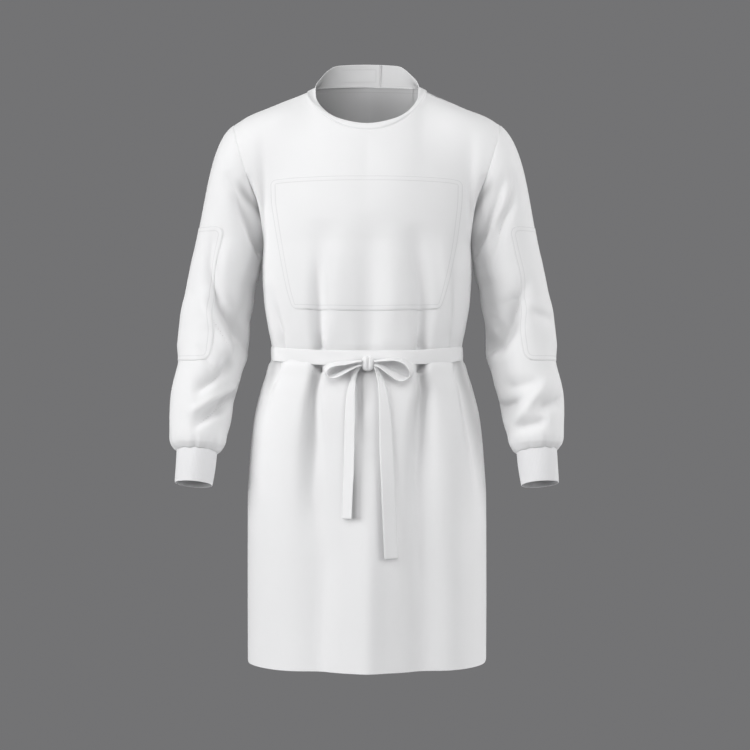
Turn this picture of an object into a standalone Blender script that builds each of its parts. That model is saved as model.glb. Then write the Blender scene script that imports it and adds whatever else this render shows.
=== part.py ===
"""Surgical gown worn open at the back, hollow, in the pose it was photographed in.

Metres, +Z up, front towards -Y, wearer's right at -X. The origin is the centre of
the neck, level with the points where the shoulder seams meet the neckband.
"""
import math

import bmesh
import bpy
import numpy as np

# Cloth and seams
WALL = 0.001
CUFF_WALL = 0.0015
BELT_WALL = 0.0015
GAP = 0.0003
PATCH_GAP = 0.0012
PATCH_TURNS = 24
BELT_GAP = 0.0004
SEAM_SHIFT = 0.00015
MERGE_DISTANCE = 0.0002
CLOTH_ROUGHNESS = 0.85

# Grid of the cloth: columns over a half of the body, rows over the yoke, loops on a sleeve
BODY_COLUMNS = 26
SHOULDER_COLUMNS = 6
YOKE_ROWS = 8
FAN_RINGS = (0.0, 0.07, 0.18, 0.32, 0.5, 0.7, 0.86, 1.0)

# Body
SECTION_POWER = 2.3
CHEST_HEIGHT = -0.29
NECK_HALF_WIDTH = 0.113
NECK_FRONT = 0.090
NECK_BACK = 0.075
NECK_POINT_HEIGHT = -0.001
NECK_FRONT_DROP = 0.0835
NECK_BACK_RISE = 0.0215
NECK_FRONT_SCOOP = 1.4
NECK_BACK_SCOOP = 0.8
SHOULDER_HALF_WIDTH = 0.252
BACK_OVERLAP_FIRST = 9
BACK_OVERLAP_LAST = 17
LAP_LIFT = 0.0018
LAP_START = 5.0
LAP_FULL = 8.0

# Cuffs
CUFF_TUCK = 0.006
CUFF_DROP = 0.068
CUFF_TOP_RADIUS = 0.0362
CUFF_HEM_RADIUS = 0.0348
CUFF_RINGS = (0.0, 0.33, 0.67, 1.0)

# Neckband, angles from the centre front, wearer's left positive
BAND_INNER_END = -193.0
BAND_OUTER_STEPS = 3

# Belt, knot, loops and tails
KNOT_CENTRE = (0.0021, -0.5167)
KNOT_SIZE = (0.022, 0.014, 0.027)
KNOT_ROUNDING = 0.005
TAIL_CLEARANCE = 0.004
TAIL_RISE = 0.003
TAIL_RISE_START = -0.545
TAIL_RISE_END = -0.527
TAIL_REACH = 0.010
TAIL_WALL = 0.0015
TAIL_ROWS = 15

CLOTH_COLOUR = (0.86, 0.86, 0.87)
PATCH_COLOUR = (0.84, 0.84, 0.85)
KNIT_COLOUR = (0.78, 0.78, 0.79)


def table(columns, *rows):
    """Return a table as one array for each named column."""
    return {name: np.array([row[k] for row in rows]) for k, name in enumerate(columns)}


# Level sections of the body from the hem up to the chest. Sag lowers the centre front.
BODY = table(
    ("height", "half_width", "front", "back", "sag"),
    (-1.078, 0.2250, 0.155, 0.150, 0.000),
    (-0.940, 0.2255, 0.152, 0.148, 0.000),
    (-0.775, 0.2255, 0.148, 0.144, 0.000),
    (-0.699, 0.2215, 0.145, 0.140, 0.000),
    (-0.623, 0.2137, 0.141, 0.134, 0.001),
    (-0.566, 0.2005, 0.135, 0.126, 0.004),
    (-0.528, 0.1880, 0.128, 0.119, 0.007),
    (-0.490, 0.1786, 0.122, 0.113, 0.009),
    (-0.452, 0.1860, 0.128, 0.118, 0.006),
    (-0.395, 0.1950, 0.131, 0.123, 0.002),
    (-0.338, 0.1976, 0.129, 0.126, 0.000),
    (-0.290, 0.1960, 0.126, 0.126, 0.000),
)

ROW_HEIGHTS = (-1.078, -1.01, -0.94, -0.87, -0.80, -0.735, -0.68, -0.63, -0.588, -0.553,
               -0.53, -0.512, -0.4965, -0.481, -0.462, -0.440, -0.417, -0.385, -0.352, -0.32)
BELT_ROWS = (11, 12, 13)
CHEST_PATCH_ROW = 16
CHEST_PATCH_COLUMN = 3

# Line of the shoulder seam from the neck outwards
SHOULDER = table(
    ("across", "height"),
    (0.113, -0.001),
    (0.131, -0.008),
    (0.150, -0.015),
    (0.186, -0.030),
    (0.224, -0.0456),
    (0.252, -0.0640),
)

# Directions in which the yoke leaves the chest and reaches the shoulder seam and neckline
YOKE_FRONT = table(
    ("across", "start_y", "start_z", "end_y", "end_z"),
    (0.000, -0.16, 0.16, 0.33, 0.08),
    (0.050, -0.10, 0.22, 0.33, 0.07),
    (0.100, -0.02, 0.30, 0.33, 0.05),
    (0.170, 0.00, 0.34, 0.32, 0.05),
    (0.231, 0.00, 0.34, 0.27, 0.09),
    (0.310, 0.00, 0.29, 0.14, 0.17),
    (0.500, -0.01, 0.22, 0.06, 0.20),
)
YOKE_BACK = table(
    ("across", "start_y", "start_z", "end_y", "end_z"),
    (0.000, 0.16, 0.16, -0.33, 0.08),
    (0.050, 0.10, 0.22, -0.33, 0.07),
    (0.100, 0.02, 0.30, -0.33, 0.05),
    (0.170, 0.00, 0.34, -0.32, 0.05),
    (0.231, 0.00, 0.34, -0.25, 0.12),
    (0.310, 0.00, 0.34, -0.13, 0.20),
    (0.500, 0.00, 0.32, -0.05, 0.20),
)

# Top edge of the neckband for angles from the centre front to the centre back
BAND_EDGE = table(
    ("angle", "across", "depth", "height"),
    (0.0, 0.0000, -0.0830, -0.0716),
    (30.0, 0.0535, -0.0720, -0.0586),
    (60.0, 0.0833, -0.0420, -0.0337),
    (90.0, 0.0965, 0.0040, 0.0080),
    (120.0, 0.0835, 0.0380, 0.0370),
    (150.0, 0.0560, 0.0600, 0.0595),
    (180.0, 0.0000, 0.0700, 0.0636),
)

# Level rings of a sleeve below the armpit, for the wearer's right
ARM = table(
    ("height", "across", "depth", "half_width", "half_depth"),
    (-0.338, -0.2755, 0.005, 0.0627, 0.0650),
    (-0.395, -0.2820, 0.005, 0.0675, 0.0660),
    (-0.433, -0.2890, 0.000, 0.0656, 0.0640),
    (-0.485, -0.2915, -0.010, 0.0670, 0.0620),
    (-0.525, -0.2980, -0.022, 0.0615, 0.0600),
    (-0.580, -0.3090, -0.036, 0.0592, 0.0570),
    (-0.617, -0.3120, -0.046, 0.0570, 0.0540),
    (-0.650, -0.3155, -0.055, 0.0525, 0.0500),
    (-0.664, -0.3160, -0.058, 0.0470, 0.0450),
    (-0.672, -0.3165, -0.060, 0.0400, 0.0395),
    (-0.680, -0.3170, -0.062, 0.0382, 0.0382),
)
ARM_HEIGHTS = (-0.372, -0.408, -0.444, -0.478, -0.511, -0.545, -0.58, -0.612, -0.642,
               -0.66, -0.672, -0.68)
# Angles of the sleeve's columns in degrees, from the body over the front to the outer side
SLEEVE_ANGLES = (0.0, 25.0, 50.0, 76.0, 102.0, 122.0, 142.0, 161.0, 180.0)

# Directions in which a sleeve leaves the armhole, from the armpit up to the shoulder
SLEEVE_HEAD = table(
    ("up", "across", "depth", "height"),
    (0.00, -0.050, 0.000, 0.000),
    (0.25, -0.055, -0.018, -0.022),
    (0.50, -0.078, -0.022, -0.045),
    (0.75, -0.098, -0.012, -0.078),
    (1.00, -0.108, 0.000, -0.104),
)

FOLD_COLUMNS = ("height", "across", "depth", "width")
# Troughs (depth above 0) and ridges (below 0) of the front, by height and place across
FRONT_FOLDS = (
    table(FOLD_COLUMNS, (-0.53, -0.097, 0.003, 0.014), (-0.50, -0.098, 0.003, 0.014),
          (-0.47, -0.098, 0.012, 0.016), (-0.40, -0.098, 0.010, 0.020),
          (-0.30, -0.099, 0.006, 0.026), (-0.24, -0.100, 0.000, 0.030)),
    table(FOLD_COLUMNS, (-0.53, 0.094, 0.003, 0.014), (-0.50, 0.093, 0.003, 0.014),
          (-0.47, 0.093, 0.013, 0.017), (-0.40, 0.093, 0.011, 0.021),
          (-0.32, 0.090, 0.006, 0.028), (-0.24, 0.080, 0.000, 0.034)),
    table(FOLD_COLUMNS, (-1.078, -0.135, 0.012, 0.050), (-0.95, -0.131, 0.012, 0.045),
          (-0.80, -0.113, 0.012, 0.036), (-0.675, -0.118, 0.012, 0.026),
          (-0.556, -0.104, 0.008, 0.018), (-0.515, -0.097, 0.000, 0.014)),
    table(FOLD_COLUMNS, (-1.078, 0.086, 0.014, 0.052), (-0.90, 0.088, 0.015, 0.048),
          (-0.76, 0.090, 0.016, 0.036), (-0.66, 0.089, 0.014, 0.028),
          (-0.556, 0.098, 0.008, 0.018), (-0.515, 0.096, 0.000, 0.014)),
    table(FOLD_COLUMNS, (-1.078, 0.018, -0.012, 0.036), (-0.90, 0.022, -0.011, 0.036),
          (-0.76, 0.024, -0.008, 0.034), (-0.66, 0.022, 0.000, 0.030)),
    table(FOLD_COLUMNS, (-0.60, -0.003, 0.000, 0.020), (-0.555, -0.003, 0.005, 0.018),
          (-0.52, -0.002, 0.000, 0.018)),
    table(FOLD_COLUMNS, (-0.485, -0.001, 0.002, 0.018), (-0.46, -0.001, 0.004, 0.018),
          (-0.42, 0.000, 0.000, 0.020)),
    table(FOLD_COLUMNS, (-0.49, -0.160, 0.000, 0.014), (-0.465, -0.166, 0.006, 0.015),
          (-0.42, -0.176, 0.004, 0.015), (-0.38, -0.184, 0.000, 0.015)),
    table(FOLD_COLUMNS, (-0.76, 0.203, 0.000, 0.018), (-0.68, 0.202, 0.005, 0.018),
          (-0.60, 0.192, 0.007, 0.016), (-0.545, 0.174, 0.005, 0.014),
          (-0.512, 0.164, 0.000, 0.014)),
)
BACK_FOLDS = (
    table(FOLD_COLUMNS, (-1.078, 0.128, 0.012, 0.048), (-0.85, 0.118, 0.013, 0.040),
          (-0.65, 0.108, 0.011, 0.028), (-0.515, 0.092, 0.000, 0.016)),
    table(FOLD_COLUMNS, (-1.078, -0.122, 0.014, 0.050), (-0.80, -0.112, 0.013, 0.038),
          (-0.63, -0.104, 0.011, 0.026), (-0.515, -0.090, 0.000, 0.016)),
    table(FOLD_COLUMNS, (-0.50, 0.084, 0.002, 0.014), (-0.465, 0.084, 0.010, 0.018),
          (-0.38, 0.082, 0.007, 0.024), (-0.28, 0.080, 0.000, 0.030)),
    table(FOLD_COLUMNS, (-0.50, -0.082, 0.002, 0.014), (-0.465, -0.082, 0.011, 0.018),
          (-0.36, -0.080, 0.007, 0.024), (-0.26, -0.078, 0.000, 0.030)),
)

SLEEVE_FOLD_COLUMNS = ("height", "angle", "depth", "width")
# Creases of the sleeves. Angles run from the body over the front to the outer side.
RIGHT_SLEEVE_FOLDS = (
    table(SLEEVE_FOLD_COLUMNS, (-0.50, 30.0, 0.000, 0.016), (-0.47, 38.0, 0.006, 0.018),
          (-0.42, 72.0, 0.008, 0.020), (-0.37, 105.0, 0.006, 0.020),
          (-0.32, 103.0, 0.000, 0.020)),
    table(SLEEVE_FOLD_COLUMNS, (-0.60, 60.0, 0.000, 0.018), (-0.575, 85.0, 0.005, 0.018),
          (-0.545, 110.0, 0.005, 0.018), (-0.52, 130.0, 0.000, 0.018)),
    table(SLEEVE_FOLD_COLUMNS, (-0.52, 230.0, 0.000, 0.020), (-0.47, 260.0, 0.006, 0.020),
          (-0.42, 285.0, 0.000, 0.020)),
)
LEFT_SLEEVE_FOLDS = (
    table(SLEEVE_FOLD_COLUMNS, (-0.51, 20.0, 0.000, 0.018), (-0.48, 36.0, 0.007, 0.020),
          (-0.43, 84.0, 0.009, 0.022), (-0.38, 125.0, 0.006, 0.020),
          (-0.33, 140.0, 0.000, 0.020)),
    table(SLEEVE_FOLD_COLUMNS, (-0.62, 120.0, 0.000, 0.018), (-0.59, 95.0, 0.005, 0.018),
          (-0.555, 62.0, 0.005, 0.018), (-0.53, 40.0, 0.000, 0.018)),
    table(SLEEVE_FOLD_COLUMNS, (-0.53, 270.0, 0.000, 0.020), (-0.48, 245.0, 0.006, 0.020),
          (-0.43, 225.0, 0.000, 0.020)),
)

# Outline of the chest reinforcement: its sides by height, its top by place across
CHEST_SIDES = table(
    ("height", "left", "right"),
    (-0.418, -0.133, 0.133),
    (-0.336, -0.150, 0.153),
    (-0.270, -0.166, 0.165),
    (-0.170, -0.168, 0.168),
)
CHEST_TOP = table(
    ("across", "height"),
    (-0.170, -0.186),
    (-0.120, -0.175),
    (0.000, -0.1726),
    (0.120, -0.175),
    (0.170, -0.186),
)

# Sleeve reinforcement: its columns and bottom ring on the sleeve's grid, its level top
SLEEVE_PATCH_COLUMNS = (4, 12)
SLEEVE_PATCH_BOTTOM_RING = 12
SLEEVE_PATCH_TOP = -0.259

# Bow loops: near edge of the strip and, against the belt, its far edge, seen from the front
LOOP_COLUMNS = ("across", "height", "far_across", "far_height")
LEFT_LOOP = table(
    LOOP_COLUMNS,
    (0.0135, -0.5098, 0.0135, -0.5095),
    (0.0260, -0.5065, 0.0250, -0.5060),
    (0.0400, -0.5055, 0.0370, -0.5050),
    (0.0550, -0.5070, 0.0480, -0.5060),
    (0.0690, -0.5120, 0.0580, -0.5090),
    (0.0800, -0.5200, 0.0650, -0.5140),
    (0.0845, -0.5300, 0.0680, -0.5200),
    (0.0820, -0.5400, 0.0660, -0.5260),
    (0.0730, -0.5480, 0.0600, -0.5300),
    (0.0620, -0.5490, 0.0520, -0.5300),
    (0.0480, -0.5430, 0.0420, -0.5270),
    (0.0340, -0.5350, 0.0310, -0.5240),
    (0.0220, -0.5270, 0.0210, -0.5215),
    (0.0135, -0.5210, 0.0135, -0.5190),
)
RIGHT_LOOP = table(
    LOOP_COLUMNS,
    (-0.0093, -0.5115, -0.0093, -0.5095),
    (-0.0220, -0.5130, -0.0210, -0.5060),
    (-0.0360, -0.5160, -0.0330, -0.5070),
    (-0.0500, -0.5180, -0.0450, -0.5085),
    (-0.0640, -0.5220, -0.0560, -0.5110),
    (-0.0745, -0.5280, -0.0650, -0.5150),
    (-0.0785, -0.5350, -0.0690, -0.5205),
    (-0.0745, -0.5405, -0.0670, -0.5255),
    (-0.0640, -0.5410, -0.0590, -0.5275),
    (-0.0510, -0.5360, -0.0480, -0.5260),
    (-0.0370, -0.5300, -0.0350, -0.5235),
    (-0.0220, -0.5245, -0.0210, -0.5210),
    (-0.0093, -0.5205, -0.0093, -0.5190),
)
LOOP_WIDTH = 0.020
LOOP_STAND_OFF = 0.0015
TAIL_COLUMNS = ("height", "across", "half_width")
RIGHT_TAIL = table(
    TAIL_COLUMNS,
    (-0.7975, -0.0345, 0.0096),
    (-0.7000, -0.0330, 0.0098),
    (-0.6000, -0.0325, 0.0096),
    (-0.5600, -0.0300, 0.0090),
    (-0.5400, -0.0235, 0.0072),
    (-0.5250, -0.0136, 0.0043),
)
LEFT_TAIL = table(
    TAIL_COLUMNS,
    (-0.8700, 0.0445, 0.0126),
    (-0.7800, 0.0405, 0.0127),
    (-0.6800, 0.0363, 0.0127),
    (-0.6000, 0.0325, 0.0124),
    (-0.5680, 0.0300, 0.0112),
    (-0.5500, 0.0246, 0.0060),
    (-0.5250, 0.0176, 0.0041),
)


def curve(xs, ys, at):
    """Read a smooth line through points that never overshoots them."""
    order = np.argsort(xs)
    xs = np.asarray(xs, float)[order]
    ys = np.asarray(ys, float)[order]
    at = np.asarray(at, float)
    step = np.diff(xs)
    slope = np.diff(ys) / step
    before = slope[:-1]
    after = slope[1:]
    total = np.where(np.abs(before + after) < 1e-12, 1.0, before + after)
    inner = np.where(before * after > 0.0, 2.0 * before * after / total, 0.0)
    tangent = np.concatenate([slope[:1], inner, slope[-1:]])
    i = np.clip(np.searchsorted(xs, at) - 1, 0, len(step) - 1)
    u = np.clip((at - xs[i]) / step[i], 0.0, 1.0)
    start = ys[i] * (1 + 2 * u) * (1 - u) ** 2 + tangent[i] * step[i] * u * (1 - u) ** 2
    end = ys[i + 1] * u * u * (3 - 2 * u) + tangent[i + 1] * step[i] * u * u * (u - 1)
    return start + end


def read(rows, name, at):
    """Read one named column of a table at a value of its first column."""
    first = next(iter(rows))
    return curve(rows[first], rows[name], at)


def smooth_step(low, high, at):
    u = np.clip((np.asarray(at, float) - low) / (high - low), 0.0, 1.0)
    return u * u * (3.0 - 2.0 * u)


def unit(vectors):
    return vectors / np.linalg.norm(vectors, axis=-1, keepdims=True)


def hermite(start, start_way, end, end_way, v):
    """Cubic from start to end that leaves and arrives in the given ways."""
    return (start * (1 + 2 * v) * (1 - v) ** 2 + start_way * v * (1 - v) ** 2
            + end * v * v * (3 - 2 * v) + end_way * v * v * (v - 1))


def sheet(grid, closed=False):
    """Open sheet of triangles through a grid, its outside where columns turn into rows."""
    rows, columns = grid.shape[:2]
    shape = bmesh.new()
    points = [[shape.verts.new(point) for point in row] for row in grid]
    for j in range(rows - 1):
        for i in range(columns if closed else columns - 1):
            k = (i + 1) % columns
            corners = (points[j][i], points[j][k], points[j + 1][k], points[j + 1][i])
            shape.faces.new((corners[0], corners[1], corners[2]))
            shape.faces.new((corners[0], corners[2], corners[3]))
    shape.normal_update()
    return shape


def grid_normals(grid, closed=False):
    """Outward normals of the sheet at the points of its grid."""
    shape = sheet(grid, closed)
    normals = np.array([tuple(point.normal) for point in shape.verts]).reshape(grid.shape)
    shape.free()
    return normals


def moved_out(grid, distance, closed=False):
    return grid + grid_normals(grid, closed) * np.asarray(distance)[..., None]


def section(t, height, back):
    """Points of a level section, t from one side seam (0) to the other (1)."""
    angle = math.pi * t
    power = 2.0 / SECTION_POWER
    cosine = np.cos(angle)
    across = np.sign(cosine) * np.abs(cosine) ** power * read(BODY, "half_width", height)
    reach = np.abs(np.sin(angle)) ** power
    sag = read(BODY, "sag", height) * np.sin(angle) ** 2
    if back:
        depth = reach * read(BODY, "back", height)
        return np.stack([across, depth, np.full_like(across, height)], axis=-1)
    depth = -reach * read(BODY, "front", height)
    return np.stack([-across, depth, height - sag], axis=-1)


def neckline(angle):
    """Seam of neck and body at an angle in degrees from the centre front."""
    turn = np.radians(angle)
    forward = np.cos(turn)
    across = NECK_HALF_WIDTH * np.sin(turn)
    front = np.clip(forward, 0.0, 1.0)
    behind = np.clip(-forward, 0.0, 1.0)
    depth = -NECK_FRONT * front + NECK_BACK * behind
    height = NECK_POINT_HEIGHT - NECK_FRONT_DROP * front ** NECK_FRONT_SCOOP
    height = height + NECK_BACK_RISE * behind ** NECK_BACK_SCOOP
    return np.stack([across, depth, height], axis=-1)


def yoke_top(t, back):
    """Upper edge of a body panel: shoulder seam, neckline, shoulder seam."""
    share = SHOULDER_COLUMNS / BODY_COLUMNS
    side = np.where(t < 0.5, -1.0, 1.0)
    outer = np.minimum(t, 1.0 - t)
    inward = np.clip(outer / share, 0.0, 1.0)
    across = SHOULDER_HALF_WIDTH + (NECK_HALF_WIDTH - SHOULDER_HALF_WIDTH) * inward
    seam = np.stack([side * across, 0.0 * across, read(SHOULDER, "height", across)], axis=-1)
    angle = (t - 0.5) / (0.5 - share) * 90.0
    angle = np.clip(angle, -90.0, 90.0)
    neck = neckline(180.0 + angle if back else angle)
    if back:
        seam = seam * np.array([-1.0, 1.0, 1.0])
    return np.where((outer < share)[..., None], seam, neck)


def yoke_row(t, v, back):
    """One row of a body panel above the chest, v from the chest (0) to the top (1)."""
    ways = YOKE_BACK if back else YOKE_FRONT
    outer = np.minimum(t, 1.0 - t)
    zero = 0.0 * t
    leave = np.stack([zero, read(ways, "start_y", outer), read(ways, "start_z", outer)], axis=-1)
    arrive = np.stack([zero, read(ways, "end_y", outer), read(ways, "end_z", outer)], axis=-1)
    return hermite(section(t, CHEST_HEIGHT, back), leave, yoke_top(t, back), arrive, v)


def folded(grid, folds):
    """Press the troughs and raise the ridges of a body panel."""
    depth = np.zeros(grid.shape[:2])
    across = grid[..., 0]
    height = grid[..., 2]
    for fold in folds:
        centre = read(fold, "across", height)
        width = read(fold, "width", height)
        inside = (height >= fold["height"].min() - 1e-6) & (height <= fold["height"].max())
        amount = np.where(inside, read(fold, "depth", height), 0.0)
        depth += amount * np.exp(-((across - centre) / width) ** 2)
    return moved_out(grid, -depth)


def body_grid(columns, heights, yoke_rows, back):
    """Grid of a whole front or back, rows from the hem up."""
    rows = [section(columns, height, back) for height in heights]
    rows += [yoke_row(columns, v, back) for v in yoke_rows]
    grid = folded(np.array(rows), BACK_FOLDS if back else FRONT_FOLDS)
    grid[..., 1] += SEAM_SHIFT if back else -SEAM_SHIFT
    return grid


def standard_grid(back):
    columns = np.arange(BODY_COLUMNS + 1) / BODY_COLUMNS
    return body_grid(columns, ROW_HEIGHTS, np.arange(YOKE_ROWS + 1) / YOKE_ROWS, back)


def lap(column):
    """How far the outer back panel stands off at a column counted from its side."""
    return LAP_LIFT * smooth_step(LAP_START, LAP_FULL, column)


def sleeve_ring(height, angles):
    """Points of a sleeve ring below the armpit, for the wearer's right."""
    step = 0.004
    low = max(height - step, ARM["height"].min())
    high = min(height + step, ARM["height"].max())
    centre = np.array([read(ARM, "across", height), read(ARM, "depth", height), height])
    ends = [np.array([read(ARM, "across", h), read(ARM, "depth", h), h]) for h in (high, low)]
    down = unit(ends[1] - ends[0])
    inner = unit(np.array([1.0, 0.0, 0.0]) - down[0] * down)
    front = np.cross(down, inner)
    wide = read(ARM, "half_width", height)
    deep = read(ARM, "half_depth", height)
    ring = centre + np.cos(angles)[:, None] * wide * inner
    return ring + np.sin(angles)[:, None] * deep * front, down


def sleeve_grid(armhole, armhole_normals, angles, fan, heights, folds):
    """Grid of a right sleeve: fan of rings at the head, then rings down the arm."""
    start = armhole + armhole_normals * (WALL + GAP)
    end, down = sleeve_ring(ARM["height"].max(), angles)
    up = 1.0 - np.abs(np.mod(angles, 2.0 * math.pi) / math.pi - 1.0)
    side = np.where(angles < math.pi, 1.0, -1.0)
    leave = np.stack([read(SLEEVE_HEAD, "across", up), side * read(SLEEVE_HEAD, "depth", up),
                      read(SLEEVE_HEAD, "height", up)], axis=-1)
    chord = np.linalg.norm(end - start, axis=-1, keepdims=True)
    rows = [hermite(start, leave, end, down * chord, v) for v in fan]
    rows += [sleeve_ring(height, angles)[0] for height in heights]
    grid = np.array(rows)
    depth = np.zeros(grid.shape[:2])
    turned = np.degrees(angles)[None, :]
    height = grid[..., 2]
    for fold in folds:
        away = np.mod(turned - read(fold, "angle", height) + 180.0, 360.0) - 180.0
        reach = np.radians(away) * read(ARM, "half_width", height)
        inside = (height >= fold["height"].min()) & (height <= fold["height"].max())
        amount = np.where(inside, read(fold, "depth", height), 0.0)
        depth += amount * np.exp(-(reach / read(fold, "width", height)) ** 2)
    return moved_out(grid, -depth, closed=True)


def armhole_loop(front, back, chest_row, side):
    """Armhole points and body normals, from the armpit up the front and down the back."""
    front_column = 0 if side < 0 else -1
    back_column = -1 if side < 0 else 0
    front_normals = grid_normals(front)
    back_normals = grid_normals(back)
    rise = front[chest_row:, front_column]
    fall = back[chest_row:, back_column][::-1]
    rise_normals = front_normals[chest_row:, front_column]
    fall_normals = back_normals[chest_row:, back_column][::-1]
    points = np.concatenate([rise, fall[1:-1]])
    normals = np.concatenate([rise_normals, fall_normals[1:-1]])
    normals[0] = unit(rise_normals[0] + fall_normals[-1])
    points[0] = 0.5 * (rise[0] + fall[-1])
    top = len(rise) - 1
    normals[top] = unit(rise_normals[-1] + fall_normals[0])
    points[top] = 0.5 * (rise[-1] + fall[0])
    return points, normals


def new_material(name, colour, roughness):
    material = bpy.data.materials.new(name)
    material.use_nodes = True
    shader = material.node_tree.nodes["Principled BSDF"]
    shader.inputs["Base Color"].default_value = (*colour, 1.0)
    shader.inputs["Roughness"].default_value = roughness
    shader.inputs["Metallic"].default_value = 0.0
    return material


def link_object(name, mesh, colour):
    mesh.materials.append(new_material(name + "_cloth", colour, CLOTH_ROUGHNESS))
    part = bpy.data.objects.new(name, mesh)
    bpy.data.collections["Surgical_gown"].objects.link(part)
    mesh.shade_smooth()
    return part


def cloth(name, grid, wall, colour, closed=False):
    """Make a grid of points an open sheet and thicken it outwards."""
    shape = sheet(grid, closed)
    bmesh.ops.remove_doubles(shape, verts=shape.verts, dist=MERGE_DISTANCE)
    mesh = bpy.data.meshes.new(name)
    shape.to_mesh(mesh)
    shape.free()
    part = link_object(name, mesh, colour)
    solid = part.modifiers.new("Wall", "SOLIDIFY")
    solid.thickness = wall
    solid.offset = 1.0
    return part


def on_grid(grid, rows, columns):
    """Points on the triangles of a panel at fractions of its grid lines."""
    j = np.clip(np.floor(rows).astype(int), 0, grid.shape[0] - 2)
    i = np.clip(np.floor(columns).astype(int), 0, grid.shape[1] - 2)
    v = (rows - j)[..., None]
    u = (columns - i)[..., None]
    first = grid[j, i]
    last = grid[j + 1, i + 1]
    lower = first + u * (grid[j, i + 1] - first) + v * (last - grid[j, i + 1])
    upper = first + v * (grid[j + 1, i] - first) + u * (last - grid[j + 1, i])
    return np.where(u >= v, lower, upper)


def crossing(values, target):
    """Fraction of the grid line at which a rising or falling value meets a target."""
    places = np.arange(len(values))
    if values[0] > values[-1]:
        return np.interp(-target, -values, places)
    return np.interp(target, values, places)


def row_at(grid, column, height):
    i = int(min(math.floor(column), grid.shape[1] - 2))
    line = grid[:, i, 2] + (column - i) * (grid[:, i + 1, 2] - grid[:, i, 2])
    return crossing(line, height)


def column_at(grid, row, across):
    j = int(min(math.floor(row), grid.shape[0] - 2))
    line = grid[j, :, 0] + (row - j) * (grid[j + 1, :, 0] - grid[j, :, 0])
    return crossing(line, across)


def patch_grid(panel, first, last, limits):
    """Panel's points, moved out, with those outside an outline drawn in to it.

    First and last are (row, column) of the grid. Limits gives the lowest and highest row
    and column at a (row, column, point).
    """
    outer = moved_out(panel, WALL + PATCH_GAP)
    patch = np.zeros((last[0] - first[0] + 1, last[1] - first[1] + 1, 3))
    for j in range(patch.shape[0]):
        for i in range(patch.shape[1]):
            row = float(first[0] + j)
            column = float(first[1] + i)
            for turn in range(PATCH_TURNS):
                point = on_grid(panel, np.array(row), np.array(column))
                rows, columns = limits(row, column, point)
                if turn % 2:
                    row = min(max(row, rows[0]), rows[1])
                else:
                    column = min(max(column, columns[0]), columns[1])
            patch[j, i] = on_grid(outer, np.array(row), np.array(column))
    return patch


def chest_patch_grid(front):
    """Reinforcement on the front panel between its sides, top and bottom."""
    def limits(row, column, point):
        top = read(CHEST_TOP, "height", point[0])
        rows = (CHEST_PATCH_ROW, row_at(front, column, top))
        left = read(CHEST_SIDES, "left", point[2])
        right = read(CHEST_SIDES, "right", point[2])
        return rows, (column_at(front, row, left), column_at(front, row, right))
    last_row = len(ROW_HEIGHTS) + YOKE_ROWS - 2
    return patch_grid(front, (CHEST_PATCH_ROW, CHEST_PATCH_COLUMN),
                      (last_row, BODY_COLUMNS - CHEST_PATCH_COLUMN), limits)


def sleeve_patch_grid(sleeve):
    """Reinforcement over the outside of the elbow, for the wearer's right."""
    def limits(row, column, point):
        top = row_at(sleeve, column, SLEEVE_PATCH_TOP)
        return (top, SLEEVE_PATCH_BOTTOM_RING), SLEEVE_PATCH_COLUMNS
    first, last = SLEEVE_PATCH_COLUMNS
    return patch_grid(sleeve, (2, first), (SLEEVE_PATCH_BOTTOM_RING, last), limits)


def neckband_grid():
    """Neckband from its inner end behind, round the front, to its outer end."""
    half = BODY_COLUMNS // 2 - SHOULDER_COLUMNS
    step = 90.0 / half
    places = np.arange(-2 * half, 2 * half + BAND_OUTER_STEPS + 1)
    angles = np.concatenate([[BAND_INNER_END], places * step])
    folded_angle = np.abs(np.mod(angles + 180.0, 360.0) - 180.0)
    side = np.where(np.mod(angles, 360.0) < 180.0, 1.0, -1.0)
    seam = neckline(angles)
    edge = np.stack([side * read(BAND_EDGE, "across", folded_angle),
                     read(BAND_EDGE, "depth", folded_angle),
                     read(BAND_EDGE, "height", folded_angle)], axis=-1)
    way = unit(edge - seam)
    stand_off = lap((angles - 90.0) / step + SHOULDER_COLUMNS)
    low = seam + way * (GAP + 0.5 * stand_off)[:, None]
    grid = np.array([low + (edge - low) * v for v in (0.0, 0.5, 1.0)])
    return moved_out(grid, np.broadcast_to(stand_off, grid.shape[:2]))


def belt_grid(front, left_back, back):
    """Belt from the panels' points at its rows, moved out, right round the waist."""
    rows = list(BELT_ROWS)
    over_front = moved_out(front, WALL + BELT_GAP)[rows]
    over_left = moved_out(left_back, WALL + BELT_GAP)[rows]
    over_right = moved_out(back, WALL + BELT_GAP)[rows]
    behind = np.concatenate([over_left[:, :BACK_OVERLAP_LAST + 2],
                             over_right[:, BACK_OVERLAP_LAST + 2:]], axis=1)
    around = np.concatenate([over_front[:, :-1], behind[:, :-1]], axis=1)
    around[:, 0] = 0.5 * (over_front[:, 0] + behind[:, -1])
    around[:, BODY_COLUMNS] = 0.5 * (over_front[:, -1] + behind[:, 0])
    return around


def front_surface(front, across, height):
    """Depth of the front panel at a place across and a height."""
    row_ids = np.arange(front.shape[0])
    line = np.array([np.interp(across, row[:, 0], row[:, 1]) for row in front])
    level = np.array([np.interp(across, row[:, 0], row[:, 2]) for row in front])
    return np.interp(np.interp(height, level, row_ids), row_ids, line)


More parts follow.
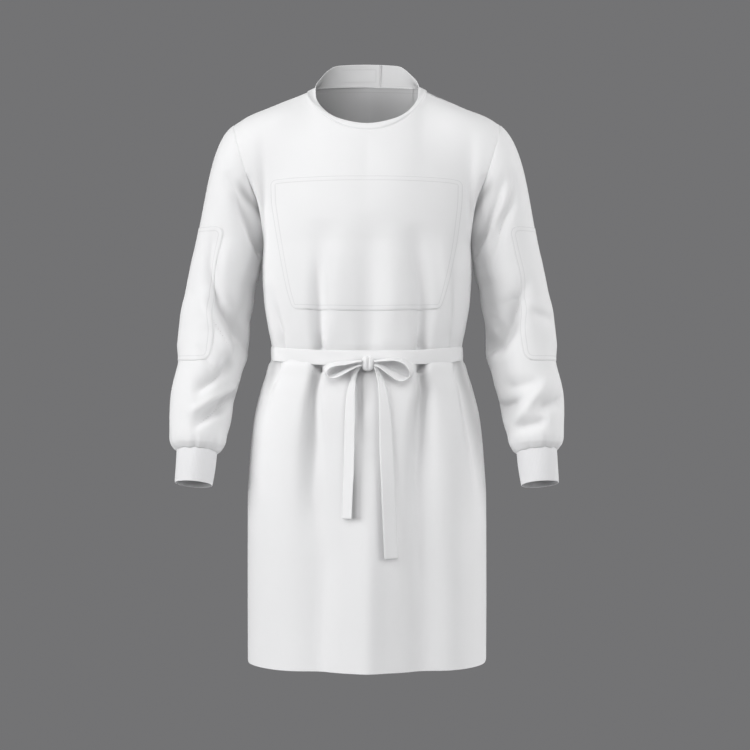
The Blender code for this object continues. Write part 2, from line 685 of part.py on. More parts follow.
def tail_grid(front, tail, belt_front):
    """Tail of the belt hanging from the knot over the front."""
    heights = np.linspace(tail["height"].min(), tail["height"].max(), TAIL_ROWS)
    rows = []
    for height in heights:
        centre = read(tail, "across", height)
        half = read(tail, "half_width", height)
        row = []
        for share in (-1.0, 0.0, 1.0):
            across = centre + share * half
            places = (across - TAIL_REACH, across, across + TAIL_REACH)
            near = [front_surface(front, place, height) for place in places]
            rise = TAIL_RISE * smooth_step(TAIL_RISE_START, TAIL_RISE_END, height)
            depth = min(min(near) - WALL - TAIL_CLEARANCE, belt_front - LOOP_STAND_OFF) - rise
            row.append((across, depth, height))
        rows.append(row)
    return np.array(rows)


def loop_grid(loop, belt_front):
    """Bow loop: a strip from its far edge at the belt to its near edge."""
    rows = []
    for share in (0.0, 0.5, 1.0):
        across = loop["far_across"] + share * (loop["across"] - loop["far_across"])
        height = loop["far_height"] + share * (loop["height"] - loop["far_height"])
        depth = belt_front - LOOP_STAND_OFF - share * LOOP_WIDTH + 0.0 * across
        rows.append(np.stack([across, depth, height], axis=-1))
    return np.array(rows)


def cuff_grid(angles):
    """Knit cuff, its top tucked inside the sleeve's end."""
    end_height = ARM["height"].min()
    ring, down = sleeve_ring(end_height, angles)
    centre = 0.5 * (ring[0] + ring[len(angles) // 2])
    spoke = unit(ring - centre)
    rows = []
    for share in CUFF_RINGS:
        drop = -CUFF_TUCK + share * (CUFF_DROP + CUFF_TUCK)
        radius = CUFF_TOP_RADIUS + (CUFF_HEM_RADIUS - CUFF_TOP_RADIUS) * share
        rows.append(centre + down * drop + spoke * radius)
    return np.array(rows)


def mirrored(grid):
    """The same grid on the wearer's left, its outside still outside."""
    return (grid * np.array([-1.0, 1.0, 1.0]))[:, ::-1]


def add_knot(belt_front):
    shape = bmesh.new()
    bmesh.ops.create_cube(shape, size=1.0)
    bmesh.ops.scale(shape, vec=KNOT_SIZE, verts=shape.verts)
    mesh = bpy.data.meshes.new("belt_knot")
    shape.to_mesh(mesh)
    shape.free()
    knot = link_object("belt_knot", mesh, CLOTH_COLOUR)
    knot.location = (KNOT_CENTRE[0], belt_front - 0.5 * KNOT_SIZE[1], KNOT_CENTRE[1])
    rounding = knot.modifiers.new("Rounding", "BEVEL")
    rounding.width = KNOT_ROUNDING
    rounding.segments = 3
    return knot


def clear_scene():
    for item in list(bpy.data.objects):
        bpy.data.objects.remove(item)
    for group in list(bpy.data.collections):
        bpy.data.collections.remove(group)


def main():
    clear_scene()
    group = bpy.data.collections.new("Surgical_gown")
    bpy.context.scene.collection.children.link(group)

    front = standard_grid(False)
    back = standard_grid(True)
    cloth("front_panel", front, WALL, CLOTH_COLOUR)
    right_back = back[:, BACK_OVERLAP_FIRST:]
    cloth("back_panel_right", right_back, WALL, CLOTH_COLOUR)
    stand_off = np.broadcast_to(lap(np.arange(BODY_COLUMNS + 1)), back.shape[:2])
    left_back = moved_out(back, stand_off)
    cloth("back_panel_left", left_back[:, :BACK_OVERLAP_LAST + 1], WALL, CLOTH_COLOUR)

    chest_row = len(ROW_HEIGHTS)
    angles = np.radians(SLEEVE_ANGLES + tuple(360.0 - a for a in SLEEVE_ANGLES[-2:0:-1]))
    for side, label, folds in ((-1, "right", RIGHT_SLEEVE_FOLDS), (1, "left", LEFT_SLEEVE_FOLDS)):
        hole, normals = armhole_loop(front, back, chest_row, side)
        flip = np.array([-float(side), 1.0, 1.0])
        sleeve = sleeve_grid(hole * flip, normals * flip, angles, FAN_RINGS, ARM_HEIGHTS, folds)
        patch = sleeve_patch_grid(sleeve)
        cuff = cuff_grid(angles)
        if side > 0:
            sleeve, patch, cuff = mirrored(sleeve), mirrored(patch), mirrored(cuff)
        cloth("sleeve_" + label, sleeve, WALL, CLOTH_COLOUR, closed=True)
        cloth("sleeve_reinforcement_" + label, patch, WALL, PATCH_COLOUR)
        cloth("cuff_" + label, cuff, CUFF_WALL, KNIT_COLOUR, closed=True)

    cloth("neckband", neckband_grid(), WALL, CLOTH_COLOUR)
    cloth("chest_reinforcement", chest_patch_grid(front), WALL, PATCH_COLOUR)
    belt = belt_grid(front, left_back, back)
    cloth("belt", belt, BELT_WALL, CLOTH_COLOUR, closed=True)
    belt_front = float(belt[:, BODY_COLUMNS // 2, 1].min()) - BELT_WALL - 2.0 * GAP
    add_knot(belt_front)
    cloth("bow_loop_left", loop_grid(LEFT_LOOP, belt_front), TAIL_WALL, CLOTH_COLOUR)
    cloth("bow_loop_right", loop_grid(RIGHT_LOOP, belt_front), TAIL_WALL, CLOTH_COLOUR)
    cloth("belt_tail_left", tail_grid(front, LEFT_TAIL, belt_front), TAIL_WALL, CLOTH_COLOUR)
    cloth("belt_tail_right", tail_grid(front, RIGHT_TAIL, belt_front), TAIL_WALL, CLOTH_COLOUR)


if __name__ == "__main__":
    main()
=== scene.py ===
"""Surgical gown of smooth white cloth, laid out as a Blender add-on and run as a script."""
import math
from functools import lru_cache

import bpy
import numpy as np
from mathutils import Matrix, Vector


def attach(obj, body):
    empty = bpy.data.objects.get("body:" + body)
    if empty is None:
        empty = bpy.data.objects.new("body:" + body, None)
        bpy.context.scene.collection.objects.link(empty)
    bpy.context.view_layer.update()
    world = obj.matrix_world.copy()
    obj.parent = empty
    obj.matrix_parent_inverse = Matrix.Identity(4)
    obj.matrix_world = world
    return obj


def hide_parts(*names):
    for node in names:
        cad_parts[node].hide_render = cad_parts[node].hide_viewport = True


bl_info = {
    "name": "Surgical gown",
    "version": (1, 0, 0),
    "blender": (4, 5, 0),
    "location": "3D View > Sidebar > Gown",
    "description": "White cloth gown with a lapped back, knit cuffs and a tied belt",
    "category": "Add Mesh",
}

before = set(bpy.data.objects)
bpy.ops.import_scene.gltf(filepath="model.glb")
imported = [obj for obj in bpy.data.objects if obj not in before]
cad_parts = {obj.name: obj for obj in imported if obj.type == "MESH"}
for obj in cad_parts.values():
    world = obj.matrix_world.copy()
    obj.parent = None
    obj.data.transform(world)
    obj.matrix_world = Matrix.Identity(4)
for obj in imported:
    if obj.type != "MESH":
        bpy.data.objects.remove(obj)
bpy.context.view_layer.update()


# Columns that hold degrees, shares and other numbers that aren't lengths
PLAIN = ("angle", "lean", "share", "spread", "up", "amount", "first", "last", "turn", "rise",
         "power")


def table(columns, *rows):
    """Arrays in metres by column, from rows in millimetres; a number left out last is 0."""
    sizes = [1.0 if name in PLAIN else 1000.0 for name in columns]
    full = np.array([row + (0.0,) * (len(columns) - len(row)) for row in rows])
    return dict(zip(columns, np.round(full / sizes, 7).T))


def creases(columns, *lines):
    """One table for each crease; a row without its last number has no lean."""
    return [table(columns, *rows) for rows in lines]


# ---------------------------------------------------------------- sizes of the gown
# Single sizes are in metres, and rows of tables in millimetres.
SIDES = ((-1, "right"), (1, "left"))
MIRROR = np.array([-1.0, 1.0, 1.0])
SECTION_POWER = 2.3
CHEST_HEIGHT = -0.29
HEM_ROWS = (-1.078, -1.0773, -1.0758)
EVEN_ROW_HEIGHTS = (-1.0735, CHEST_HEIGHT - 0.0045)
NECK_HALF_WIDTH = 0.113
NECK_FRONT = 0.090
NECK_BACK = 0.075
NECK_POINT_HEIGHT = -0.001
NECK_FRONT_DROP = 0.0835
NECK_BACK_RISE = 0.0215
NECK_FRONT_POWER = 1.4
NECK_BACK_POWER = 0.8
SHOULDER_HALF_WIDTH = 0.252
SHOULDER_SHARE = 6.0 / 26.0
SHOULDER_EASE_WIDTH = 0.075
SHOULDER_EASE_ROUNDS = 90
SHOULDER_EASE_START = (0.05, 0.45)
SHOULDER_EASE_END = 0.975
LAP_LIFT = 0.0018
INNER_LAP_LIFT = 0.0009
INNER_LAP_SHARE = 0.035
LAP_START = 5.0 / 26.0
LAP_FULL = 8.0 / 26.0
RIGHT_BACK_START = 9.0 / 26.0
LEFT_BACK_END = 17.0 / 26.0
SEAM_SHIFT = 0.00015
SIDE_STILL = 0.010
ROLL_DEPTH = 0.0006
ROLL_REACH = 0.0018
CLOTH_REST = 0.0002
HEM_CORNER_HEIGHTS = (-1.010, -1.078)
HEM_CORNER_RISE = 0.0060
HEM_CORNER_WIDTH = 0.024
# Slow waves of the cloth
RIPPLE_WAVES = 7
RIPPLE_RATES = (26.0, 60.0)
BODY_RIPPLE = 0.0022
BODY_RIPPLE_FADE = 0.05
SLEEVE_RIPPLE_FADE = 0.3
SLEEVE_RIPPLE = 0.0018
FRONT_SEED, BACK_SEED, SLEEVE_SEED = 3, 5, 11

# Body from the hem up to the chest. Sag lowers the centre front.
BODY = table(
    ("height", "half_width", "front", "back", "sag"),
    (-1078, 225, 155, 150, 0),
    (-940, 225.5, 152, 148, 0),
    (-775, 225.5, 148, 144, 0),
    (-699, 221.5, 145, 140, 0),
    (-623, 213.7, 141, 134, 1),
    (-566, 200.5, 135, 126, 4),
    (-528, 188, 128, 119, 7),
    (-490, 178.6, 122, 113, 9),
    (-452, 186, 128, 118, 6),
    (-395, 195, 131, 123, 2),
    (-338, 197.6, 129, 126, 0),
    (-290, 196, 126, 126, 0),
)
SHOULDER = table(
    ("across", "height"),
    (113, -1),
    (131, -9.5),
    (150, -17.2),
    (186, -32.2),
    (224, -47),
    (252, -64),
)
YOKE_FRONT = table(
    ("share", "start_y", "start_z", "end_y", "end_z"),
    (0, -160, 160, 330, 80),
    (0.05, -100, 220, 330, 70),
    (0.1, -20, 300, 330, 50),
    (0.17, 0, 340, 320, 50),
    (0.231, 0, 340, 270, 90),
    (0.31, 0, 290, 140, 170),
    (0.5, -10, 220, 60, 200),
)
YOKE_BACK = table(
    ("share", "start_y", "start_z", "end_y", "end_z"),
    (0, 160, 160, -330, 80),
    (0.05, 100, 220, -330, 70),
    (0.1, 20, 300, -330, 50),
    (0.17, 0, 340, -320, 50),
    (0.231, 0, 340, -250, 120),
    (0.31, 0, 340, -130, 200),
    (0.5, 0, 320, -50, 200),
)
BAND_EDGE = table(
    ("angle", "across", "depth", "height"),
    (-30, -54, -72, -60),
    (0, 0, -83, -71.6),
    (30, 54, -72, -60),
    (60, 86, -42, -34.5),
    (75, 96.5, -19, -12),
    (90, 97.5, 4, 8),
    (120, 83.5, 38, 37),
    (150, 56, 60, 59.5),
    (180, 0, 70, 63.6),
    (210, -56, 60, 59.5),
)
# Swell of the neckband between its seam and its edge; below 0 it is hollow.
BAND_SWELL = table(
    ("angle", "swell"),
    (0, 1.2),
    (55, 1),
    (80, -3),
    (104, -5.5),
    (128, -1.8),
    (155, 1),
    (180, 1.2),
)
BAND_ENDS = (-193.0, 218.57)
BAND_COLUMNS = 240
BAND_CLOSE, BAND_CLEAR = 0.6, 0.9
BAND_SEAM = 0.0003
BAND_SLACK = 0.0012
BAND_SLACK_WAVES = 5.0
BAND_SLACK_ANGLES = (100.0, 140.0)
BAND_ROLL = 0.0008
BAND_FOLD_MARGIN = 0.004
BAND_NEEDLE_ROW = 0.0022
BAND_ROWS = (0.0, 0.03, 0.07, 0.14, 0.21, 0.24, 0.27, 0.36, 0.5, 0.64, 0.76, 0.79, 0.82, 0.88,
             0.94, 0.98, 1.0)
# Stitches that hold the fastening strip inside the neckband: angle and share of its width
BAND_STITCHES = ((-155.0, 0.24), (-163.0, 0.24), (-171.0, 0.24), (-179.0, 0.24), (-188.5, 0.24),
                 (-188.5, 0.42), (-188.5, 0.60), (-188.5, 0.79), (-179.0, 0.79), (-171.0, 0.79),
                 (-163.0, 0.79), (-155.0, 0.79))
ARM = table(
    ("height", "across", "depth", "half_width", "half_depth"),
    (-338, -268.8, 5, 64.8, 63.5),
    (-362, -275, 5, 63.4, 63.5),
    (-395, -280.4, 5, 64.4, 64.5),
    (-433, -288.4, 0, 65, 64),
    (-485, -291.5, -10, 67, 62),
    (-525, -297, -22, 60.4, 60),
    (-580, -309, -36, 59.2, 57),
    (-617, -312, -46, 57, 54),
    (-645, -315, -54, 53, 50.5),
    (-658.7, -315.8, -57.2, 51.8, 49.4),
    (-666, -316.2, -58.8, 49.8, 47.8),
    (-672, -316.5, -60, 46.6, 45),
    (-676, -316.7, -61, 43.2, 42.4),
    (-678.5, -316.9, -61.6, 40.2, 39.9),
    (-680, -317, -62, 37.6, 37.6),
)
ARM_RADIUS = 0.06
RING_STEP = 0.004
ARMHOLE_GAP = 0.0004
SLEEVE_ANGLES = (0.0, 25.0, 50.0, 76.0, 102.0, 122.0, 142.0, 161.0, 180.0)
SLEEVE_HEAD = table(
    ("up", "across", "depth", "height"),
    (0, -6, 0, -40),
    (0.25, -40, -20, -40),
    (0.5, -78, -22, -45),
    (0.75, -118, -12, -78),
    (1, -148, 0, -104),
)

# Creases: troughs have a depth above 0, ridges below 0. Lean above 0 widens the far side.
FOLD = ("height", "across", "depth", "width", "lean")
FRONT_FOLDS = creases(
    FOLD,
    # fold above the belt, wearer's right
    ((-530, -90, 6, 10), (-500, -90, 11, 10), (-487, -89.5, 16, 9.5), (-474, -90.5, 14.5, 11),
     (-455, -90, 13, 13.5), (-418, -90.5, 13, 16.5, 0.1), (-382, -90.9, 11.5, 17.5, 0.1),
     (-346, -89.5, 9, 18.5, 0.1), (-309, -87, 5.5, 21.5), (-280, -85, 3, 24), (-250, -83, 0, 26)),
    # fold above the belt, wearer's left
    ((-530, 101, 6, 10), (-500, 100.8, 11, 10), (-487, 100.8, 16.5, 10), (-474, 101, 14.5, 11.5),
     (-455, 101.2, 13.5, 13), (-418, 101.5, 12, 15.5, 0.1), (-382, 100, 10, 16.5, 0.1),
     (-346, 96.7, 7.8, 17.5, 0.1), (-309, 94.4, 5.5, 19), (-282, 92.5, 3, 21), (-255, 91, 0, 23)),
    # broad soft trough above the knot
    ((-515, 3, 2, 16), (-487, 4, 5, 18), (-455, 5, 7, 22), (-420, 5, 6.8, 24), (-360, 6, 5.2, 25),
     (-300, 6, 3, 26), (-240, 6, 0, 28)),
    # folds beside the belt's ends at both sides, above it
    ((-515, -158, 2, 8), (-500, -160, 7, 8), (-482, -161.5, 11.5, 8), (-460, -165, 9, 9.5),
     (-430, -171, 6, 11), (-400, -178, 3, 12), (-370, -184, 0, 13)),
    ((-515, 167, 2, 8), (-500, 168, 7, 8), (-480, 168, 12, 9), (-460, 170, 11, 10),
     (-420, 172.5, 8.5, 12), (-370, 171.5, 7, 13), (-320, 169, 5.5, 14), (-290, 168, 3, 15),
     (-250, 166, 0, 16)),
    ((-470, 155, 0, 9), (-435, 152.5, -3, 9), (-382, 149, -3.6, 10), (-346, 145, -3.4, 10),
     (-309, 140, -2.4, 10), (-270, 136, 0, 11)),
    # fold below the belt, wearer's right, broader down to the hem
    ((-1078, -88, 8.5, 31), (-960, -86, 8.5, 30), (-880, -84, 8.8, 31), (-800, -94, 9.8, 29, 0.1),
     (-730, -100.5, 12, 24, 0.2), (-657, -101, 15.5, 19, 0.2), (-602, -101, 15, 14, 0.2),
     (-565, -98, 14, 11, 0.1), (-529, -89.5, 13, 8.5), (-510, -89, 3, 9)),
    # fold below the belt, wearer's left
    ((-1078, 105, 8.5, 29), (-960, 105, 9, 28), (-880, 101, 11.5, 25), (-800, 99, 11.5, 23),
     (-730, 98, 12.2, 21), (-657, 100.5, 14.8, 18), (-602, 103, 15.5, 14.5),
     (-565, 105.5, 15, 11.5, 0.1), (-529, 101.2, 13, 8.8), (-510, 101, 3, 9)),
    # ridge down the middle of the skirt
    ((-1078, 0, -9, 52), (-900, 1, -8.5, 50), (-760, 2, -5.5, 46), (-660, 2, 0, 40)),
    ((-1078, 2, -4.5, 21), (-900, 4, -4.5, 21), (-760, 6, -3, 21), (-690, 6, 0, 20)),
    # trough below the knot, beside the tail
    ((-680, -13, 0, 14), (-620, -16, 5, 10), (-575, -17, 9, 8.5), (-545, -17, 10, 8), (-520, -14, 5, 8),
     (-508, -12, 1, 8)),
    # folds below the belt at both sides
    ((-820, 214, 0, 14), (-750, 211, 4, 13), (-700, 206, 7, 14), (-657, 200, 9, 14),
     (-602, 191, 11, 13), (-565, 185, 12, 11), (-530, 174, 12.5, 8), (-508, 170, 2, 8)),
    ((-640, -197, 0, 13), (-600, -192, 3, 12), (-565, -186, 6.5, 10), (-540, -176, 9.5, 9),
     (-524, -170, 11.5, 8), (-508, -167, 2, 8)),
    # low swells between the folds
    ((-480, -60, 0, 18), (-440, -60, -2, 20), (-360, -62, -3, 24), (-270, -60, 0, 26)),
    ((-460, 50, 0, 20), (-400, 48, -3, 22), (-330, 46, -2.5, 24), (-260, 44, 0, 24)),
    ((-1078, 165, -3, 30), (-850, 160, -4, 28), (-680, 152, -3, 24), (-580, 145, 0, 20)),
    ((-1078, -160, -3, 34), (-850, -158, -3.5, 30), (-680, -150, -3, 24), (-580, -145, 0, 20)),
)
# Soft shade of the front's deepest creases, from 0 to 1
SHADE = ("height", "across", "amount", "width", "lean")
FRONT_SHADES = creases(
    SHADE,
    ((-800, -100, 0, 25), (-740, -107, 0.16, 22), (-660, -108, 0.32, 17), (-600, -107.5, 0.4, 12),
     (-545, -97, 0.6, 9), (-505, -89.5, 0.75, 8)),
    ((-780, 94, 0, 20), (-700, 94, 0.1, 17), (-640, 94, 0.22, 14), (-600, 96, 0.35, 12),
     (-545, 102, 0.6, 9), (-505, 101, 0.75, 8)),
    ((-801, -23.3, 0, 5), (-797, -23.3, 0.85, 5), (-750, -22.2, 0.85, 4.8), (-700, -20.5, 0.5, 4.2),
     (-660, -19.5, 0.3, 5), (-620, -16.5, 0.25, 7), (-580, -7, 0.4, 12.5), (-548, -3.5, 0.6, 14),
     (-515, 0, 0.5, 13)),
    ((-790, 215, 0, 13), (-730, 213, 0.12, 13), (-670, 207, 0.3, 13), (-620, 198, 0.5, 13),
     (-575, 188, 0.65, 12), (-545, 179, 0.75, 10), (-505, 171, 0.75, 9)),
    ((-580, -187, 0, 8), (-545, -180, 0.4, 8), (-505, -171, 0.7, 8)),
)
BACK_FOLDS = creases(
    FOLD,
    ((-1078, 128, 12, 48), (-850, 118, 13, 40), (-650, 108, 12, 24), (-550, 96, 11, 14),
     (-512, 92, 3, 11)),
    ((-1078, -122, 14, 50), (-800, -112, 13, 38), (-630, -104, 12, 22), (-550, -94, 11, 13),
     (-512, -90, 3, 11)),
    ((-505, 84, 4, 11), (-472, 84, 12, 12), (-430, 83, 11, 16, 0.2), (-360, 82, 6, 22, 0.2),
     (-260, 80, 0, 30)),
    ((-505, -82, 4, 11), (-472, -82, 12, 12), (-430, -81, 11, 16, -0.2), (-350, -80, 6, 22, -0.2),
     (-250, -78, 0, 30)),
    ((-505, 20, 2, 11), (-470, 21, 7, 13), (-410, 23, 4, 18), (-330, 24, 0, 24)),
    ((-505, 150, 2, 11), (-470, 151, 7, 12), (-400, 156, 4, 16), (-330, 160, 0, 20)),
    ((-505, -148, 2, 11), (-470, -150, 7, 12), (-390, -155, 4, 16), (-310, -160, 0, 20)),
    ((-1078, 30, -6, 40), (-900, 30, -6, 34), (-720, 26, -5, 28), (-600, 18, 0, 22)),
    ((-740, 190, 0, 18), (-620, 178, 6, 16), (-550, 160, 7, 11), (-512, 152, 2, 10)),
    ((-760, -192, 0, 18), (-630, -180, 6, 16), (-550, -162, 7, 11), (-512, -154, 2, 10)),
    ((-200, 60, 0, 30), (-150, 75, 3, 26), (-90, 100, 0, 22)),
    ((-210, -150, 0, 26), (-160, -168, 4, 22), (-100, -185, 0, 20)),
)

# Deep crease along the lower half of each armhole, drawn for the wearer's right
ARMPIT = table(
    ("height", "depth", "width"),
    (-289.5, 0, 6),
    (-280, 6, 6),
    (-265, 15.5, 7),
    (-240, 20, 7.5),
    (-215, 16.5, 8.5),
    (-190, 9, 9),
    (-160, 0, 10),
)
ARMPIT_REACH = {-1: 0.015, 1: 0.018}
ARMPIT_WAY = 1.6
ARMPIT_START = 12.0

# Soft shade: amounts from 0 to 1, and the places between which it comes and goes
ARMHOLE_BAND = {-1: 0.020, 1: 0.010}
ARMHOLE_BAND_SHADE = 0.75
ARMHOLE_BAND_WIDTH = 0.009
ARMHOLE_BAND_HEIGHTS = (-0.305, -0.283, -0.200, -0.165)
ARMHOLE_SHADE_WIDTH = 0.007
ARMHOLE_SHADE_HEIGHTS = (-0.300, -0.275, -0.235, -0.190)
ARMHOLE_BAND_DROP = (-0.195, -0.280)
BESIDE_SHADE = {-1: 0.62, 1: 0.85}
BESIDE_ANGLES = (78.0, 26.0)
BESIDE_TOP = (-0.235, -0.290)
BESIDE_END = (-0.664, -0.600)
HOLLOW_SHADE = 0.75
HOLLOW_DEPTHS = (0.003, 0.017)
SLEEVE_SHADE = 0.4
NECK_SHADE = 0.95
NECK_SHADE_ACROSS = (0.005, -0.100)
NECK_SHADE_HEIGHTS = (-0.260, -0.180)
BAND_SHADE = 0.72
BAND_SHADE_ANGLES = (188.0, 238.0, 265.0, 300.0)

# Creases of the sleeves. Angles run from the body over the front to the outer side.
SLEEVE_FOLD = ("height", "angle", "depth", "width", "lean")
RIGHT_SLEEVE_FOLDS = creases(
    SLEEVE_FOLD,
    # from the shoulder down to the armpit, with a ridge beside it
    ((-318, 4, 0, 10), (-306, 12, 7, 10), (-284, 36, 9, 10), (-258, 56, 9.5, 10), (-229, 80, 8, 10),
     (-201, 100, 6, 9.5), (-176, 120, 3.5, 9.5), (-156, 130, 0, 10)),
    ((-300, 2, 0, 7), (-285, 8, -4.5, 7), (-262, 28, -6, 7), (-232, 52, -5, 7), (-202, 78, -3, 8),
     (-170, 102, 0, 10)),
    # along the reinforcement's edge and round under the elbow, with a crest beside it
    ((-504, -14, 0, 14, 0.1), (-486, 8, 8, 17, 0.2), (-466, 30, 11.5, 18, 0.25),
     (-445, 54, 13, 18, 0.25), (-424, 72, 13.5, 16.5, 0.2), (-403, 86, 13, 15, 0.1), (-379, 97, 12, 13),
     (-353, 107, 10.5, 12.5), (-322, 117, 7, 12), (-290, 121, 4, 12), (-262, 124, 0, 12)),
    ((-526, 18, 0, 9), (-500, 45, -4.5, 9), (-476, 64, -5.5, 9), (-455, 76, -5.5, 9),
     (-430, 90, -4.5, 9), (-400, 104, -2.5, 9), (-370, 116, 0, 9)),
    # full bulges above the elbow and beside the fold below it
    ((-455, 96, 0, 16), (-435, 92, -3, 12), (-400, 112, -2, 12), (-370, 124, 0, 12)),
    ((-410, 66, 0, 16), (-370, 82, -4.5, 18), (-330, 88, -4.5, 18), (-280, 92, 0, 18)),
    # flatter inner side
    ((-295, 34, 0, 22), (-340, 36, 5, 24), (-400, 38, 6.5, 26), (-450, 38, 7, 26), (-500, 40, 5, 25),
     (-560, 42, 4, 23), (-610, 44, 3, 21), (-645, 44, 0, 20)),
    # crease at the reinforcement's lower corner
    ((-532, 66, 0, 8), (-516, 84, 4, 8, -0.3), (-500, 98, 5.5, 8, -0.3), (-480, 112, 0, 9)),
    # two slanting hollows of the forearm
    ((-572, 106, 0, 16), (-560, 86, 7.5, 15, 0.3), (-545, 66, 9, 15, 0.3), (-520, 46, 8, 16),
     (-480, 40, 0, 18)),
    ((-640, 100, 0, 10), (-626, 84, 5.5, 12, 0.3), (-614, 66, 11.5, 16, 0.4), (-604, 42, 13, 16, 0.4),
     (-592, 18, 10, 14, 0.3), (-576, -8, 0, 12)),
    ((-612, 112, 0, 10), (-600, 90, -4, 9), (-582, 62, -5.5, 9), (-568, 30, -4, 9), (-555, 4, 0, 10)),
    # hidden side
    ((-520, 224, 0, 16), (-470, 258, 11, 12, 0.4), (-430, 288, 10, 12, 0.4), (-390, 318, 0, 14)),
    ((-610, 192, 0, 12), (-578, 232, 8, 12, 0.3), (-545, 272, 8, 11, 0.3), (-520, 314, 0, 12)),
    ((-640, 304, 0, 10), (-618, 270, 5.5, 10), (-590, 232, 0, 12)),
    ((-400, 214, 0, 14), (-360, 236, 5, 14), (-310, 250, 0, 14)),
    ((-320, 352, 0, 10), (-290, 330, 8, 10), (-240, 292, 8, 10), (-175, 258, 0, 12)),
)
LEFT_SLEEVE_FOLDS = creases(
    SLEEVE_FOLD,
    # two creases from the shoulder down to the armpit, with a ridge beside them
    ((-320, 6, 0, 9), (-300, 22, 8, 10), (-282, 42, 10, 10), (-250, 66, 9, 9.5), (-216, 90, 6.5, 9),
     (-185, 112, 4, 9), (-158, 126, 0, 10)),
    ((-350, 50, 0, 12), (-310, 68, 3.5, 11), (-262, 88, 6.5, 9), (-216, 116, 6.5, 9), (-180, 134, 4, 9),
     (-150, 142, 0, 10)),
    ((-275, 0, 0, 8), (-253, 26, -4.5, 7), (-210, 64, -4.5, 8), (-168, 100, 0, 10)),
    ((-300, 84, 0, 10), (-262, 76, -2.5, 8), (-220, 104, -3.5, 8), (-165, 134, 0, 10)),
    # flatter inner side
    ((-300, 34, 0, 22), (-345, 36, 5, 24), (-400, 38, 5.5, 25), (-450, 38, 3.5, 25), (-510, 40, 3, 24),
     (-570, 42, 3, 22), (-645, 44, 0, 20)),
    # sharp fold under the elbow, wide above and short below
    ((-506, -8, 0, 10), (-490, 14, 16, 19, -0.36), (-484, 40, 19, 20, -0.38),
     (-468, 58, 20, 20.5, -0.38), (-449, 73, 19, 19.5, -0.38), (-420, 82, 15, 17.5, -0.36),
     (-402, 91, 11, 15.5, -0.3), (-382, 104, 5, 13, -0.3), (-345, 118, 0, 13)),
    ((-512, 10, 0, 7), (-492, 38, -4, 7), (-458, 66, -4.5, 7), (-424, 88, -3.5, 7), (-395, 106, 0, 8)),
    ((-446, 172, 0, 10), (-432, 148, 4.5, 12, -0.3), (-424, 122, 4.5, 12, -0.3), (-408, 100, 0, 11)),
    # shaded hollows of the forearm
    ((-566, 30, 0, 10), (-558, 54, 4.5, 11), (-553, 80, 4.5, 11), (-545, 106, 0, 11)),
    ((-604, -8, 0, 11), (-596, 18, 9, 12, 0.3), (-590, 44, 8, 11, 0.3), (-582, 72, 0, 10)),
    ((-606, 86, 0, 11), (-595, 108, 8, 13), (-588, 136, 8, 13), (-578, 166, 0, 12)),
    ((-640, 34, 0, 9), (-632, 60, 7, 10), (-627, 88, 7, 10), (-620, 116, 0, 10)),
    ((-630, 40, 0, 9), (-608, 66, -4.5, 9), (-584, 86, -5, 9), (-556, 112, -3, 10), (-530, 132, 0, 12)),
    # hidden side
    ((-530, 276, 0, 16), (-480, 245, 11, 12, 0.4), (-435, 215, 10, 12, 0.4), (-395, 192, 0, 14)),
    ((-615, 322, 0, 12), (-582, 286, 8, 12, 0.3), (-555, 244, 8, 11, 0.3), (-530, 204, 0, 12)),
    ((-645, 196, 0, 10), (-622, 232, 5.5, 10), (-604, 268, 0, 12)),
    ((-320, 350, 0, 10), (-290, 328, 8, 10), (-235, 294, 8, 10), (-170, 262, 0, 12)),
)
FOLD_SHARPNESS = 1.35
CREASE_STEP = 0.0015
CREASE_POWER = 0.85
# Small tucks where each sleeve is drawn in above its cuff
TUCKS = table(
    ("angle", "depth", "spread"),
    (24, 1.6, 11),
    (58, 2.4, 8),
    (78, 1.2, 9),
    (99, 2.6, 7),
    (132, 1.4, 10),
    (174, 2, 9),
    (216, 2.4, 8),
    (252, 1.6, 10),
    (290, 2.6, 8),
    (334, 1.8, 10),
)
TUCK_TURN = 9.0
TUCK_HEIGHTS = (-0.630, -0.668, -0.671, -0.6795)

# Outline of the chest reinforcement
CHEST_SIDES = table(
    ("height", "left", "right"),
    (-421, -135.5, 135),
    (-377, -149, 149),
    (-332, -158.5, 159.5),
    (-294, -165.5, 167.5),
    (-248, -173.5, 174),
    (-212, -178.5, 178),
    (-170, -180, 179),
)
CHEST_TOP = table(
    ("across", "height"),
    (-183, -175),
    (-150, -172.7),
    (-120, -172),
    (0, -171.2),
    (120, -172),
    (150, -173),
    (183, -177.5),
)
CHEST_BOTTOM = table(
    ("across", "height"),
    (-134, -416.5),
    (0, -420),
    (134, -416.5),
)
CHEST_SIZE = (0.318, 0.244)
CHEST_GRID = (66, 48)
CHEST_CORNER = 0.010
CHEST_FROM, CHEST_RISE = -0.42, 0.245
CHEST_ROUNDS = 6
SLEEVE_PATCH_SIDES = table(
    ("height", "first", "last"),
    (-511, 85, 258),
    (-455, 85.5, 258),
    (-410, 92, 258),
    (-372, 100, 258),
    (-335, 102, 258),
    (-259, 102, 258),
)
SLEEVE_PATCH_HEIGHTS = (-0.259, -0.511)
SLEEVE_PATCH_SIZE = (0.176, 0.256)
SLEEVE_PATCH_GRID = (38, 46)
SLEEVE_PATCH_CORNER = 0.018
PATCH_LIFT = 0.0012
PATCH_PRESS = 0.0003
PATCH_EDGE = 0.002
CORNER_SHARES = (0.0, 0.06, 0.18, 0.38, 0.66)
NEEDLE_ROWS = (0.0016, 0.0088)
SEAM_TAPE = 0.0095

# Belt, knot, loops and tails
BELT_HEIGHT = -0.4978
BELT_HALF = 0.0129
BELT_PRESS = 0.0008
